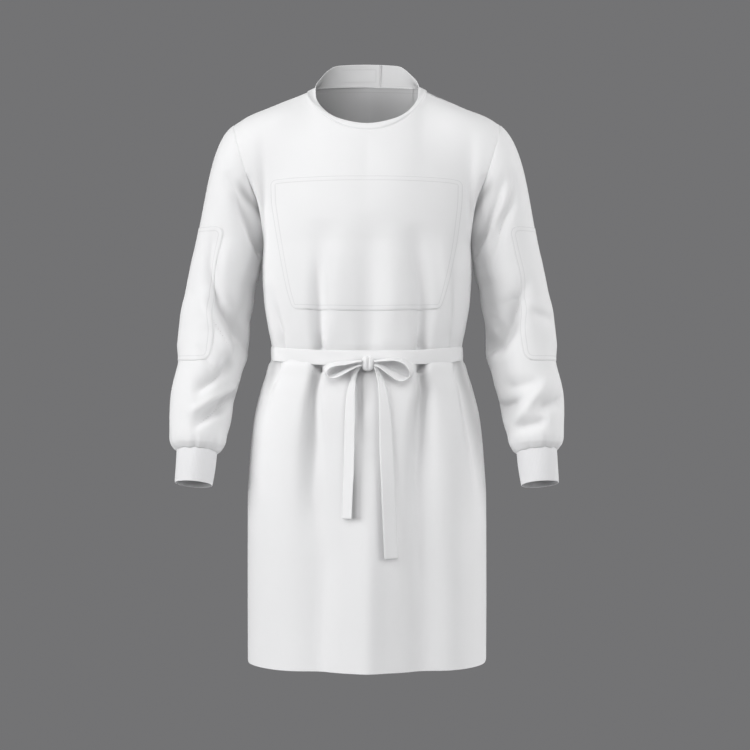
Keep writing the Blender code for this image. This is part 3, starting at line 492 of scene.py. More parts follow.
# In half widths of the belt: the cloth lies pressed under it and swells beside it
UNDER_BELT = (1.3, 0.8)
BESIDE_BELT = (3.2, 1.6)
BELT_STAND_OFF = 0.0013
BELT_FACE = 0.0014
BELT_PULL = 0.0005
BELT_WAVE, BELT_FINE_WAVE, BELT_SWAY = 0.0004, 0.0003, 0.0005
BELT_LAP_END = (0.64, 0.72)
BELT_COLUMNS = 141
BELT_ROWS = (-1.0, -0.97, -0.9, -0.78, -0.5, -0.2, 0.2, 0.5, 0.78, 0.9, 0.97, 1.0)
KNOT_CENTRE = (0.0021, -0.5167)
KNOT_SIZE = (0.0235, 0.015, 0.0275)
KNOT_POWER = 0.72
KNOT_GAP = 0.0005
KNOT_WAIST, KNOT_TAPER = 0.10, 0.05
# Depth, place across, slant and width of each groove
KNOT_GROOVES = ((0.0034, 0.0006, 0.05, 0.0017), (0.0007, -0.0078, 0.0, 0.0012))
KNOT_COLUMNS = 64
KNOT_ROWS = 41
LOOP_COLUMNS = ("across", "height", "far_across", "far_height")
LEFT_LOOP = table(
    LOOP_COLUMNS,
    (14.3, -513, 14.3, -510.4),
    (19.7, -512.6, 19.7, -509.7),
    (33.4, -511.7, 33.4, -507.2),
    (49.7, -511.2, 49.7, -505.7),
    (60.6, -513.7, 64.3, -507.5),
    (69.7, -519.2, 77, -513.7),
    (76.3, -526.8, 84.3, -523.2),
    (78.8, -535.2, 86.1, -532.2),
    (75.2, -544.2, 82.5, -540.2),
    (65.2, -549.3, 72.5, -541.7),
    (53.4, -547.2, 58.8, -537),
    (42.5, -539.9, 46.1, -529.7),
    (31.6, -531.5, 35.2, -523.5),
    (21.6, -524.2, 23.4, -518.8),
    (14.3, -521.3, 14.3, -517.7),
)
RIGHT_LOOP = table(
    LOOP_COLUMNS,
    (-9.3, -513.7, -9.3, -511.9),
    (-15.7, -514.6, -15.7, -512.1),
    (-26.6, -517, -26.6, -512.8),
    (-39.3, -519.9, -39.3, -512.8),
    (-52.1, -521.3, -52.1, -513.7),
    (-63.9, -524.2, -65.7, -518.1),
    (-71, -529.7, -74.6, -525),
    (-72.8, -535.9, -77.2, -531.9),
    (-68.4, -541.7, -72.8, -537),
    (-59.3, -543.2, -63, -536.6),
    (-48.4, -539.2, -50.2, -531.5),
    (-35.7, -531.9, -37.5, -525.7),
    (-23, -525.3, -24.8, -521),
    (-14.8, -521.7, -15.7, -519.2),
    (-9.3, -520.6, -9.3, -518.8),
)
LOOP_WIDTH = 0.020
LOOP_STAND_OFF = 0.0015
LOOP_PINCH, LOOP_PINCH_SHARE = 0.45, 0.16
LOOP_CREASE, LOOP_CREASE_TURNS, LOOP_CREASE_SHARE = 0.0011, 2.3, 0.10
LOOP_BOW = 0.0012
LOOP_STEPS = 96
LOOP_ROWS = 11
TAIL_STEPS = 110
TAIL_REACH = 0.006
TAIL_STAND_OFF = 0.0012
TAIL_SPAN = 9
TAIL_TOP = (-0.560, -0.530)
TAIL_CLEAR = 0.004
TAIL_CREASE, TAIL_CREASE_TURNS = 0.0007, 1.25
TAIL_CREASE_HEIGHTS = (-0.60, -0.53)
TAIL_COLUMNS = ("height", "across", "half_width", "left_lift", "right_lift")
RIGHT_TAIL = table(
    TAIL_COLUMNS,
    (-797.5, -35, 8, 2.4, 12.5),
    (-750, -33.8, 8.7, 2, 12),
    (-710, -32.2, 9.2, 1.8, 11.2),
    (-619.9, -30.4, 9, 1.6, 10.4),
    (-578, -29, 7.8, 2.2, 10),
    (-556, -26.2, 5.4, 4, 9.5),
    (-544, -23.5, 3.6, 6.2, 9.2),
    (-534, -21.2, 3.6, 7.2, 9.2),
    (-523, -14, 3, 8, 8.5),
)
LEFT_TAIL = table(
    TAIL_COLUMNS,
    (-870, 44.5, 12.4, 9, 2.6),
    (-780, 40.5, 12.5, 8, 2),
    (-680, 36.3, 12.5, 7, 2),
    (-619.9, 33.8, 10.7, 6.5, 2.2),
    (-583.4, 31, 8.8, 6, 3),
    (-556, 27.2, 6.6, 6.2, 4.5),
    (-540, 22.8, 4.4, 7.5, 6.5),
    (-523, 16, 2.6, 8.5, 8),
)

CUFF_TUCK = 0.006
CUFF_DROP = 0.0618
CUFF_TOP_RADIUS = 0.0362
CUFF_HEM_RADIUS = 0.0336
CUFF_BELLY, CUFF_SWAY = 0.0006, 0.0005
CUFF_ROWS = 26
CUFF_HEM_SHARES = (0.985, 0.995, 1.0)
RIB_DEPTH = 0.00016
RIB_END = (1.0, 0.96)

# Grids of the cloth
BODY_COLUMNS = 130
BODY_ROWS = 172
YOKE_ROWS = 58
SIDE_COLUMNS = (0.0008, 0.0022, 0.0045)
EDGE_SHARES = (0.86, 0.14)
YOKE_TOP_SHARES = (0.982, 0.991, 0.997, 1.0)
FAN_ROWS = 34
FAN_FIRST_SHARES = (0.0, 0.005, 0.012, 0.022)
FAN_CLOSE = (0.035, 0.17)
FAN_FIRST_DEPTHS = (0.15, 0.35, 0.7)
ARM_ROWS = 78
ARM_END, GATHER_START = -0.655, -0.6565
GATHER_ROWS = 18


# ---------------------------------------------------------------- curves and surfaces
def curve(xs, ys, at):
    """Read a smooth line through points that never overshoots them."""
    order = np.argsort(xs)
    xs = np.asarray(xs, float)[order]
    ys = np.asarray(ys, float)[order]
    at = np.asarray(at, float)
    step = np.diff(xs)
    slope = np.diff(ys) / step
    before = slope[:-1]
    after = slope[1:]
    total = np.where(np.abs(before + after) < 1e-12, 1.0, before + after)
    inner = np.where(before * after > 0.0, 2.0 * before * after / total, 0.0)
    tangent = np.concatenate([slope[:1], inner, slope[-1:]])
    i = np.clip(np.searchsorted(xs, at) - 1, 0, len(step) - 1)
    u = np.clip((at - xs[i]) / step[i], 0.0, 1.0)
    start = ys[i] * (1 + 2 * u) * (1 - u) ** 2 + tangent[i] * step[i] * u * (1 - u) ** 2
    end = ys[i + 1] * u * u * (3 - 2 * u) + tangent[i + 1] * step[i] * u * u * (u - 1)
    return start + end


def read(rows, name, at):
    """Read one named column of a table at a value of its first column."""
    first = next(iter(rows))
    return curve(rows[first], rows[name], at)


def smooth_step(low, high, at):
    u = np.clip((np.asarray(at, float) - low) / (high - low), 0.0, 1.0)
    return u * u * (3.0 - 2.0 * u)


def unit(vectors):
    return vectors / np.maximum(np.linalg.norm(vectors, axis=-1, keepdims=True), 1e-12)


def signed_power(value, power):
    """Value raised to a power, its sign kept."""
    return np.sign(value) * np.abs(value) ** power


def xyz(across, depth, height):
    return np.stack([across, depth, height], axis=-1)


def half_turn(angle):
    """The same angle in degrees, between -180 and 180."""
    return np.mod(angle + 180.0, 360.0) - 180.0


def full_turn(count):
    """Angles of evenly spaced points round a ring."""
    return np.arange(count) / count * 2.0 * math.pi


def window(at, start, full, fade, end):
    """1 between full and fade, and 0 before the start and past the end."""
    return smooth_step(start, full, at) * smooth_step(end, fade, at)


def run_along(grid, axis=0):
    """Distance from the first point of each column (axis 0) or row (axis 1) of a grid."""
    steps = np.linalg.norm(np.diff(grid, axis=axis), axis=-1)
    start = np.zeros_like(np.take(steps, [0], axis=axis))
    return np.concatenate([start, np.cumsum(steps, axis=axis)], axis=axis)


def at_distance(where, far, line):
    """Points of a line at distances along it."""
    return np.stack([np.interp(where, far, column) for column in line.T], axis=-1)


def hermite(start, start_way, end, end_way, v):
    """Cubic from start to end that leaves and arrives in the given ways."""
    return (start * (1 + 2 * v) * (1 - v) ** 2 + start_way * v * (1 - v) ** 2
            + end * v * v * (3 - 2 * v) + end_way * v * v * (v - 1))


def grid_normals(grid, closed=False):
    """Outward normals of a sheet of cloth at the points of its grid."""
    if closed:
        wide = np.concatenate([grid[:, -1:], grid, grid[:, :1]], axis=1)
        across = wide[:, 2:] - wide[:, :-2]
    else:
        across = np.gradient(grid, axis=1)
    return unit(np.cross(across, np.gradient(grid, axis=0)))


def moved_out(grid, distance, closed=False):
    return grid + grid_normals(grid, closed) * np.asarray(distance)[..., None]


def crease_profile(away, width, lean):
    """Bell across a crease, wider on the far side where it leans."""
    wide = width * np.where(away > 0.0, 1.0 + lean, 1.0 - lean)
    return np.exp(-(away / wide) ** 2)


def section(t, height, back):
    """Points of a level section, t from one side seam (0) to the other (1)."""
    angle = math.pi * t
    power = 2.0 / SECTION_POWER
    across = signed_power(np.cos(angle), power) * read(BODY, "half_width", height)
    reach = np.abs(np.sin(angle)) ** power
    if back:
        return xyz(across, reach * read(BODY, "back", height), np.full_like(across, height))
    sag = read(BODY, "sag", height) * np.sin(angle) ** 2
    return xyz(-across, -reach * read(BODY, "front", height), height - sag)


def neckline(angle):
    """Seam of neck and body at an angle in degrees from the centre front."""
    turn = np.radians(angle)
    front = np.clip(np.cos(turn), 0.0, 1.0)
    behind = np.clip(-np.cos(turn), 0.0, 1.0)
    height = (NECK_POINT_HEIGHT - NECK_FRONT_DROP * front ** NECK_FRONT_POWER
              + NECK_BACK_RISE * behind ** NECK_BACK_POWER)
    return xyz(NECK_HALF_WIDTH * np.sin(turn), -NECK_FRONT * front + NECK_BACK * behind, height)


def yoke_top(t, back):
    """Upper edge of a body panel: shoulder seam, neckline, shoulder seam."""
    side = np.where(t < 0.5, -1.0, 1.0)
    outer = np.minimum(t, 1.0 - t)
    inward = np.clip(outer / SHOULDER_SHARE, 0.0, 1.0)
    across = SHOULDER_HALF_WIDTH + (NECK_HALF_WIDTH - SHOULDER_HALF_WIDTH) * inward
    seam = xyz(side * across, 0.0 * across, read(SHOULDER, "height", across))
    angle = np.clip((t - 0.5) / (0.5 - SHOULDER_SHARE) * 90.0, -90.0, 90.0)
    neck = neckline(180.0 + angle if back else angle)
    if back:
        seam = seam * MIRROR
    return np.where((outer < SHOULDER_SHARE)[..., None], seam, neck)


def yoke_row(t, v, back):
    """One row of a body panel above the chest, v from the chest (0) to the top (1)."""
    ways = YOKE_BACK if back else YOKE_FRONT
    outer = np.minimum(t, 1.0 - t)
    leave, arrive = (xyz(0.0 * t, read(ways, end + "_y", outer), read(ways, end + "_z", outer))
                     for end in ("start", "end"))
    return hermite(section(t, CHEST_HEIGHT, back), leave, yoke_top(t, back), arrive, v)


def side_distance(grid):
    """Distance from the nearer side edge of a panel or strip, along its rows."""
    far = run_along(grid, 1)
    return np.minimum(far, far[:, -1:] - far)


def eased(grid, amount, rounds):
    """Even out a grid, each point drawn towards the middle of its neighbours."""
    grid = grid.copy()
    amount = amount[1:-1, 1:-1, None]
    for _ in range(rounds):
        around = 0.25 * (grid[:-2, 1:-1] + grid[2:, 1:-1] + grid[1:-1, :-2] + grid[1:-1, 2:])
        grid[1:-1, 1:-1] += amount * (around - grid[1:-1, 1:-1])
    return grid


def crease_sum(grid, folds, column="depth"):
    """Depths of a body panel's troughs and ridges together, or the amounts of its shades."""
    depth = np.zeros(grid.shape[:2])
    across = grid[..., 0]
    height = grid[..., 2]
    for fold in folds:
        away = across - read(fold, "across", height)
        inside = (height >= fold["height"].min()) & (height <= fold["height"].max())
        amount = np.where(inside, read(fold, column, height), 0.0)
        depth += amount * crease_profile(away, read(fold, "width", height),
                                         read(fold, "lean", height))
    return depth


def folded(grid, folds):
    """Press the troughs and raise the ridges of a body panel, none of them at its sides."""
    still = 1.0 - np.exp(-(side_distance(grid) / SIDE_STILL) ** 2)
    return moved_out(grid, -crease_sum(grid, folds) * FOLD_SHARPNESS * still)


def front_shade(grid):
    """Soft shade of the front's deepest creases and of its edges at the armholes."""
    shade = crease_sum(grid, FRONT_SHADES, "amount") + armhole_shade(grid)
    return np.clip(shade, 0.0, 1.0)


def armhole_shade(grid):
    """Soft shade of a body panel beside the lower half of each armhole."""
    low = window(grid[..., 2], *ARMHOLE_SHADE_HEIGHTS)
    return low * np.exp(-(side_distance(grid) / ARMHOLE_SHADE_WIDTH) ** 2)


def neck_shade(grid):
    """Soft shade inside the back below the neck, deeper at the wearer's right."""
    across, height = grid[..., 0], grid[..., 2]
    return (NECK_SHADE * smooth_step(*NECK_SHADE_ACROSS, across)
            * smooth_step(*NECK_SHADE_HEIGHTS, height))


def ripple(grid, size, seed):
    """Slow unevenness of soft cloth, from a few crossing waves."""
    rng = np.random.default_rng(seed)
    lift = np.zeros(grid.shape[:2])
    for _ in range(RIPPLE_WAVES):
        way = unit(rng.normal(size=3) * np.array([1.0, 1.0, 0.6]))
        lift += np.sin(grid @ way * rng.uniform(*RIPPLE_RATES) + rng.uniform(0.0, 6.3))
    return lift * size / RIPPLE_WAVES


def body_columns():
    """Shares of the way from seam to seam, closer together at the seams."""
    near = np.array(SIDE_COLUMNS)
    even = np.arange(BODY_COLUMNS + 1) / BODY_COLUMNS
    return np.sort(np.concatenate([even, near, 1.0 - near]))


def yoke_shares():
    """Shares of the way from the chest to the top, closer together at the top."""
    even = np.linspace(0.0, 0.972, YOKE_ROWS - 3)
    return np.unique(np.concatenate([even, YOKE_TOP_SHARES]))


def rolled(grid, edges, closed=False, depth=ROLL_DEPTH):
    """Turn the cloth in along its seams, where it is sewn."""
    far = {"low": run_along(grid), "high": run_along(grid[::-1])[::-1],
           "first": run_along(grid, 1), "last": run_along(grid[:, ::-1], 1)[:, ::-1]}
    amount = np.max([np.exp(-(far[edge] / ROLL_REACH) ** 2) for edge in edges], axis=0)
    return moved_out(grid, -depth * amount, closed)


@lru_cache(maxsize=None)
def body_grid(back, pressed=True):
    """Grid of a whole front or back, rows from the hem up."""
    columns = body_columns()
    heights = np.concatenate([HEM_ROWS, np.linspace(*EVEN_ROW_HEIGHTS, BODY_ROWS)])
    rows = [section(columns, height, back) for height in heights]
    rows += [yoke_row(columns, v, back) for v in yoke_shares()]
    grid = np.array(rows)
    outer = np.minimum(columns, 1.0 - columns)
    row = np.concatenate([np.zeros(len(heights)), yoke_shares()])
    corner = np.exp(-((outer - SHOULDER_SHARE) / SHOULDER_EASE_WIDTH) ** 2)[None, :]
    above = (smooth_step(*SHOULDER_EASE_START, row) * (row < SHOULDER_EASE_END))[:, None]
    grid = eased(grid, corner * above, SHOULDER_EASE_ROUNDS)
    hem = smooth_step(*HEM_CORNER_HEIGHTS, grid[..., 2])
    grid[..., 2] += HEM_CORNER_RISE * hem * np.exp(-(side_distance(grid) / HEM_CORNER_WIDTH) ** 2)
    grid = folded(grid, BACK_FOLDS if back else FRONT_FOLDS)
    away = (grid[..., 2] - BELT_HEIGHT + read(BODY, "sag", BELT_HEIGHT) * 0.5) / BELT_HALF
    away = np.abs(away)
    grid = moved_out(grid, BELT_PRESS * (1.0 - 2.0 * smooth_step(*UNDER_BELT, away))
                     * smooth_step(*BESIDE_BELT, away))
    grid[..., 1] += SEAM_SHIFT if back else -SEAM_SHIFT
    fade = (smooth_step(0.0, BODY_RIPPLE_FADE, columns)
            * smooth_step(0.0, BODY_RIPPLE_FADE, 1.0 - columns))
    seed = BACK_SEED if back else FRONT_SEED
    grid = moved_out(grid, ripple(grid, BODY_RIPPLE, seed) * fade[None, :])
    if not pressed:
        return grid
    height = grid[..., 2]
    inside = (height > ARMPIT["height"].min()) & (height < ARMPIT["height"].max())
    crease = np.where(inside, read(ARMPIT, "depth", height), 0.0)
    crease = crease * np.exp(-(side_distance(grid) / read(ARMPIT, "width", height)) ** 2)
    way = unit(np.array([0.0, -ARMPIT_WAY if back else ARMPIT_WAY, 0.0]) - grid_normals(grid))
    return grid + way * (crease * smooth_step(0.0, 1.0, row * ARMPIT_START)[:, None])[..., None]


@lru_cache(maxsize=None)
def belt_line(back):
    """Belt's own path over a half of the waist, without the folds under it."""
    columns = np.linspace(0.0, 1.0, BELT_COLUMNS)
    line = section(columns, BELT_HEIGHT, back)
    return line, unit(xyz(np.gradient(line[:, 1]), -np.gradient(line[:, 0]), 0.0 * columns))


def lap(t):
    """How far the outer back panel stands off at a share of the way from its side."""
    return LAP_LIFT * smooth_step(LAP_START, LAP_FULL, t)


def sleeve_ring(height, angles):
    """Points of a sleeve ring below the armpit, for the wearer's right."""
    low = max(height - RING_STEP, ARM["height"].min())
    high = min(height + RING_STEP, ARM["height"].max())
    centre, above, below = (np.array([read(ARM, "across", h), read(ARM, "depth", h), h])
                            for h in (height, high, low))
    down = unit(below - above)
    inner = unit(np.array([1.0, 0.0, 0.0]) - down[0] * down)
    front = np.cross(down, inner)
    ring = centre + np.cos(angles)[:, None] * read(ARM, "half_width", height) * inner
    return ring + np.sin(angles)[:, None] * read(ARM, "half_depth", height) * front, down


def armhole(side, pressed=True):
    """Armhole points and body normals, from the armpit up the front and down the back."""
    front = body_grid(False, pressed)
    back = body_grid(True, pressed)
    first = len(HEM_ROWS) + BODY_ROWS
    front_column, back_column = (0, -1) if side < 0 else (-1, 0)
    rise = front[first:, front_column]
    fall = back[first:, back_column][::-1]
    rise_normals = grid_normals(front)[first:, front_column]
    fall_normals = grid_normals(back)[first:, back_column][::-1]
    points = np.concatenate([rise, fall[1:-1]])
    normals = np.concatenate([rise_normals, fall_normals[1:-1]])
    top = len(rise) - 1
    points[0] = 0.5 * (rise[0] + fall[-1])
    points[top] = 0.5 * (rise[-1] + fall[0])
    normals[0] = unit(rise_normals[0] + fall_normals[-1])
    normals[top] = unit(rise_normals[-1] + fall_normals[0])
    return points, normals


def sleeve_crease(fold, turned, height):
    """Depth of one crease at all points of a sleeve, by the nearest point of its line."""
    steps = np.hypot(np.diff(np.radians(fold["angle"]) * ARM_RADIUS), np.diff(fold["height"]))
    run = np.concatenate([[0.0], np.cumsum(steps)])
    at = np.linspace(0.0, run[-1], max(int(run[-1] / CREASE_STEP), 12))
    spot = {name: curve(run, fold[name], at) for name in fold}
    ways = unit(np.stack([np.gradient(np.radians(spot["angle"]) * ARM_RADIUS),
                          np.gradient(spot["height"])], axis=-1))
    girth = read(ARM, "half_width", height)
    nearest = np.full(height.shape, np.inf)
    found = {name: np.zeros(height.shape) for name in ("depth", "width", "lean", "side")}
    for k in range(len(at)):
        across = np.radians(half_turn(turned - spot["angle"][k])) * girth
        up = height - spot["height"][k]
        away = across ** 2 + up ** 2
        closer = away < nearest
        nearest = np.where(closer, away, nearest)
        for name in ("depth", "width", "lean"):
            found[name] = np.where(closer, spot[name][k], found[name])
        side = np.sign(across * abs(ways[k, 1]) - up * ways[k, 0] * np.sign(ways[k, 1]))
        found["side"] = np.where(closer, side, found["side"])
    wide = found["width"] * (1.0 + found["lean"] * found["side"])
    return FOLD_SHARPNESS * found["depth"] * np.exp(-(nearest / wide ** 2) ** CREASE_POWER)


def sleeve_creases(side, turned, height):
    """Depths of all creases of a sleeve together."""
    folds = RIGHT_SLEEVE_FOLDS if side < 0 else LEFT_SLEEVE_FOLDS
    return sum(sleeve_crease(fold, turned, height) for fold in folds)


def sleeve_shade(side, grid):
    """Soft shade of a sleeve's hollows and of its side against the body, from 0 to 1."""
    turned = np.degrees(sleeve_angles())[None, :]
    inner = np.abs(half_turn(turned))
    height = grid[..., 2]
    beside = smooth_step(*BESIDE_ANGLES, inner) * smooth_step(*BESIDE_TOP, height)
    beside = BESIDE_SHADE[side] * beside * smooth_step(*BESIDE_END, height)
    hollow = HOLLOW_SHADE * smooth_step(*HOLLOW_DEPTHS, sleeve_creases(side, turned, height))
    shade = SLEEVE_SHADE * (1.0 - (1.0 - beside) * (1.0 - hollow))
    drop = smooth_step(*ARMHOLE_BAND_DROP, height)
    away = (run_along(grid) - ARMHOLE_BAND[side] * (1.0 - drop)) / ARMHOLE_BAND_WIDTH
    ends = window(height, *ARMHOLE_BAND_HEIGHTS)
    band = ARMHOLE_BAND_SHADE + (1.0 - ARMHOLE_BAND_SHADE) * drop
    return np.maximum(shade, ends * band * np.exp(-away ** 2))


def sleeve_angles():
    half = curve(np.linspace(0.0, 1.0, len(SLEEVE_ANGLES)), SLEEVE_ANGLES, yoke_shares())
    return np.radians(np.concatenate([half, 360.0 - half[-2:0:-1]]))


@lru_cache(maxsize=None)
def sleeve_grid(side):
    """Grid of a sleeve as if it were the wearer's right one, rows from the armhole down."""
    angles = sleeve_angles()
    hole, normals = armhole(side, pressed=False)
    flip = np.array([-float(side), 1.0, 1.0])
    start = hole * flip + normals * flip * ARMHOLE_GAP
    crease = (armhole(side)[0] - hole) * flip
    end, down = sleeve_ring(ARM["height"].max(), angles)
    up = 1.0 - np.abs(np.mod(angles, 2.0 * math.pi) / math.pi - 1.0)
    lean = np.where(angles < math.pi, 1.0, -1.0)
    leave = xyz(read(SLEEVE_HEAD, "across", up), lean * read(SLEEVE_HEAD, "depth", up),
                read(SLEEVE_HEAD, "height", up))
    chord = np.linalg.norm(end - start, axis=-1, keepdims=True)
    fan = np.concatenate([FAN_FIRST_SHARES, np.linspace(*FAN_CLOSE, 9)[:-1],
                          np.linspace(FAN_CLOSE[1], 1.0, FAN_ROWS - 4)])
    heights = np.linspace(ARM["height"].max(), ARM_END, ARM_ROWS)[1:]
    gathered = np.linspace(GATHER_START, ARM["height"].min(), GATHER_ROWS)
    heights = np.concatenate([heights, gathered])
    rows = [hermite(start, leave, end, down * chord, v) for v in fan]
    rows += [sleeve_ring(height, angles)[0] for height in heights]
    grid = np.array(rows)
    height = grid[..., 2]
    turned = np.degrees(angles)[None, :]
    depth = sleeve_creases(side, turned, height)
    drawn = window(height, *TUCK_HEIGHTS)
    for tuck, deep, wide in zip(*TUCKS.values()):
        away = half_turn(turned - tuck - TUCK_TURN * side)
        depth += drawn * deep * np.exp(-(away / wide) ** 2)
    depth[0] = 0.0
    depth[1:4] *= np.array(FAN_FIRST_DEPTHS)[:, None]
    grid = moved_out(grid, -depth, closed=True)
    fade = smooth_step(0.0, SLEEVE_RIPPLE_FADE, np.minimum(np.arange(len(grid)) / FAN_ROWS, 1.0))
    uneven = ripple(grid, SLEEVE_RIPPLE, SLEEVE_SEED + side)
    grid = moved_out(grid, uneven * fade[:, None], closed=True)
    near = np.exp(-(run_along(grid) / ARMPIT_REACH[side]) ** 2)
    return grid + crease[None] * near[..., None]


def mirrored(grid):
    """The same grid on the wearer's left, its outside still outside."""
    return (grid * MIRROR)[:, ::-1]


def band_angles():
    """Angles of the neckband's columns, three of them close together at its stitches."""
    even = np.linspace(*BAND_ENDS, BAND_COLUMNS)
    near = BAND_STITCHES[4][0] + np.array([-BAND_CLOSE, 0.0, BAND_CLOSE])
    return np.sort(np.concatenate([even[np.abs(even - near[1]) > BAND_CLEAR], near]))


def neckband_grid():
    """Neckband from its inner end behind, round the front, to its outer end."""
    angles = band_angles()
    share = np.array(BAND_ROWS)
    turned = np.abs(half_turn(angles))
    side = np.where(np.mod(angles, 360.0) < 180.0, 1.0, -1.0)
    seam = neckline(angles)
    edge = xyz(side * read(BAND_EDGE, "across", turned), read(BAND_EDGE, "depth", turned),
               read(BAND_EDGE, "height", turned))
    stand_off = lap(SHOULDER_SHARE + (angles - 90.0) / 90.0 * (0.5 - SHOULDER_SHARE))
    low = seam + unit(edge - seam) * (BAND_SEAM + 0.5 * stand_off)[:, None]
    grid = np.array([low + (edge - low) * v for v in share])
    grid = moved_out(grid, np.broadcast_to(stand_off, grid.shape[:2]))
    belly = np.sin(math.pi * share)[:, None] * read(BAND_SWELL, "swell", turned)[None, :]
    slack = BAND_SLACK * np.sin(np.radians(angles) * BAND_SLACK_WAVES)[None, :]
    slack = slack * smooth_step(*BAND_SLACK_ANGLES, turned)
    return moved_out(grid, belly + slack * share[:, None])


def band_shade():
    """Soft shade inside the neckband, deepest at the wearer's right."""
    return BAND_SHADE * window(np.mod(band_angles(), 360.0), *BAND_SHADE_ANGLES)


def on_band(grid, angle, share):
    """Point of the neckband's grid at an angle and a share of its width."""
    column = np.interp(angle, band_angles(), np.arange(grid.shape[1]))
    row = np.interp(share, BAND_ROWS, np.arange(len(BAND_ROWS)))
    i, j = int(column), min(int(row), grid.shape[0] - 2)
    line = grid[j] + (row - j) * (grid[j + 1] - grid[j])
    return line[i] + (column - i) * (line[i + 1] - line[i])


def front_depth(across, height):
    """Depth of the front panel at places across and heights."""
    flat, wanted = np.ravel(across), np.ravel(height)
    lines, levels = (np.array([np.interp(flat, row[:, 0], row[:, k]) for row in body_grid(False)])
                     for k in (1, 2))
    found = [np.interp(wanted[k], levels[:, k], lines[:, k]) for k in range(len(flat))]
    return np.array(found).reshape(np.shape(across))


def patch_shares(count, corner, length):
    """Shares of the way across a patch, closer together in its rounded corners."""
    share = corner / length
    near = share * np.array(CORNER_SHARES)
    middle = np.linspace(share, 1.0 - share, count)
    return np.concatenate([near, middle, 1.0 - near[::-1]])


def corner_inset(along, length, corner):
    """How far a rounded corner pulls the side in at a distance along it."""
    end = np.minimum(along, length - along)
    short = np.clip(corner - end, 0.0, corner)
    return corner - np.sqrt(np.maximum(corner ** 2 - short ** 2, 0.0))


def patch_steps(columns, rows, size, corner):
    """Shares across and along a patch with rounded corners."""
    width, height = size
    s = patch_shares(columns, corner, width)[None, :]
    t = patch_shares(rows, corner, height)[:, None]
    inset = corner_inset(t * height, height, corner) / width
    s = inset + s * (1.0 - 2.0 * inset)
    return s, t * np.ones_like(s)


def in_metres(s, t, size):
    return np.stack([s * size[0], t * size[1]], axis=-1)


@lru_cache(maxsize=None)
def chest_patch_grid():
    """Reinforcement on the front, with its places in metres across and along it."""
    s, t = patch_steps(*CHEST_GRID, CHEST_SIZE, CHEST_CORNER)
    z = CHEST_FROM + t * CHEST_RISE
    for _ in range(CHEST_ROUNDS):
        left = read(CHEST_SIDES, "left", z)
        right = read(CHEST_SIDES, "right", z)
        x = left + s * (right - left)
        low = read(CHEST_BOTTOM, "height", x)
        z = low + t * (read(CHEST_TOP, "height", x) - low)
    return xyz(x, front_depth(x, z), z), in_metres(s, t, CHEST_SIZE)


@lru_cache(maxsize=None)
def sleeve_patch_grid(side):
    """Reinforcement outside the elbow, with its places in metres across and along it."""
    sleeve = sleeve_grid(side)
    angles = np.degrees(sleeve_angles())
    s, t = patch_steps(*SLEEVE_PATCH_GRID, SLEEVE_PATCH_SIZE, SLEEVE_PATCH_CORNER)
    top, bottom = SLEEVE_PATCH_HEIGHTS
    level = top + t * (bottom - top)
    low, high = (read(SLEEVE_PATCH_SIDES, name, level) for name in ("first", "last"))
    place = np.interp(low + s * (high - low), angles, np.arange(len(angles)))
    grid = np.zeros(s.shape + (3,))
    for spot in np.ndindex(s.shape):
        k = int(place[spot])
        line = sleeve[:, k] + (place[spot] - k) * (sleeve[:, k + 1] - sleeve[:, k])
        grid[spot] = at_distance(-level[spot], -line[:, 2], line)
    return grid, in_metres(s, t, SLEEVE_PATCH_SIZE)


def belt_grid():
    """Belt right round the waist, rows from its lower edge up, one closed ring."""
    front, front_out = belt_line(False)
    back, back_out = belt_line(True)
    line = np.concatenate([front[:-1], back[:-1]])
    out = np.concatenate([front_out[:-1], back_out[:-1]])
    share = np.concatenate([np.zeros(len(front) - 1), np.linspace(0.0, 1.0, len(back))[:-1]])
    out[0] = np.array([-1.0, 0.0, 0.0])
    out[len(front) - 1] = np.array([1.0, 0.0, 0.0])
    lifted = BELT_STAND_OFF + lap(share) * (1.0 - smooth_step(*BELT_LAP_END, share))
    turn = full_turn(len(line))
    rows = []
    for v in BELT_ROWS:
        pull = BELT_PULL * abs(v) ** 6
        wave = BELT_WAVE * np.sin(9.0 * turn + 2.0 * v) + BELT_FINE_WAVE * np.sin(23.0 * turn)
        row = line + out * (lifted - pull + wave)[:, None]
        row[:, 2] += v * BELT_HALF + BELT_SWAY * np.sin(5.0 * turn + v)
        rows.append(row)
    return np.array(rows)


def belt_front():
    return float(belt_line(False)[0][:, 1].min()) - BELT_STAND_OFF - BELT_FACE


def along_points(points, count):
    """Smooth line through points, evenly spaced."""
    far = run_along(points)
    lines = np.linspace(0.0, far[-1], 40 * len(points))
    padded = np.vstack([2 * points[0] - points[1], points, 2 * points[-1] - points[-2]])
    i = np.clip(np.searchsorted(far, lines, side="right") - 1, 0, len(points) - 2)
    u = ((lines - far[i]) / (far[i + 1] - far[i]))[:, None]
    a, b, c, d = padded[i], padded[i + 1], padded[i + 2], padded[i + 3]
    fine = 0.5 * (2 * b + (c - a) * u + (2 * a - 5 * b + 4 * c - d) * u ** 2
                  + (3 * b - a - 3 * c + d) * u ** 3)
    run = run_along(fine)
    return at_distance(np.linspace(0.0, run[-1], count), run, fine)


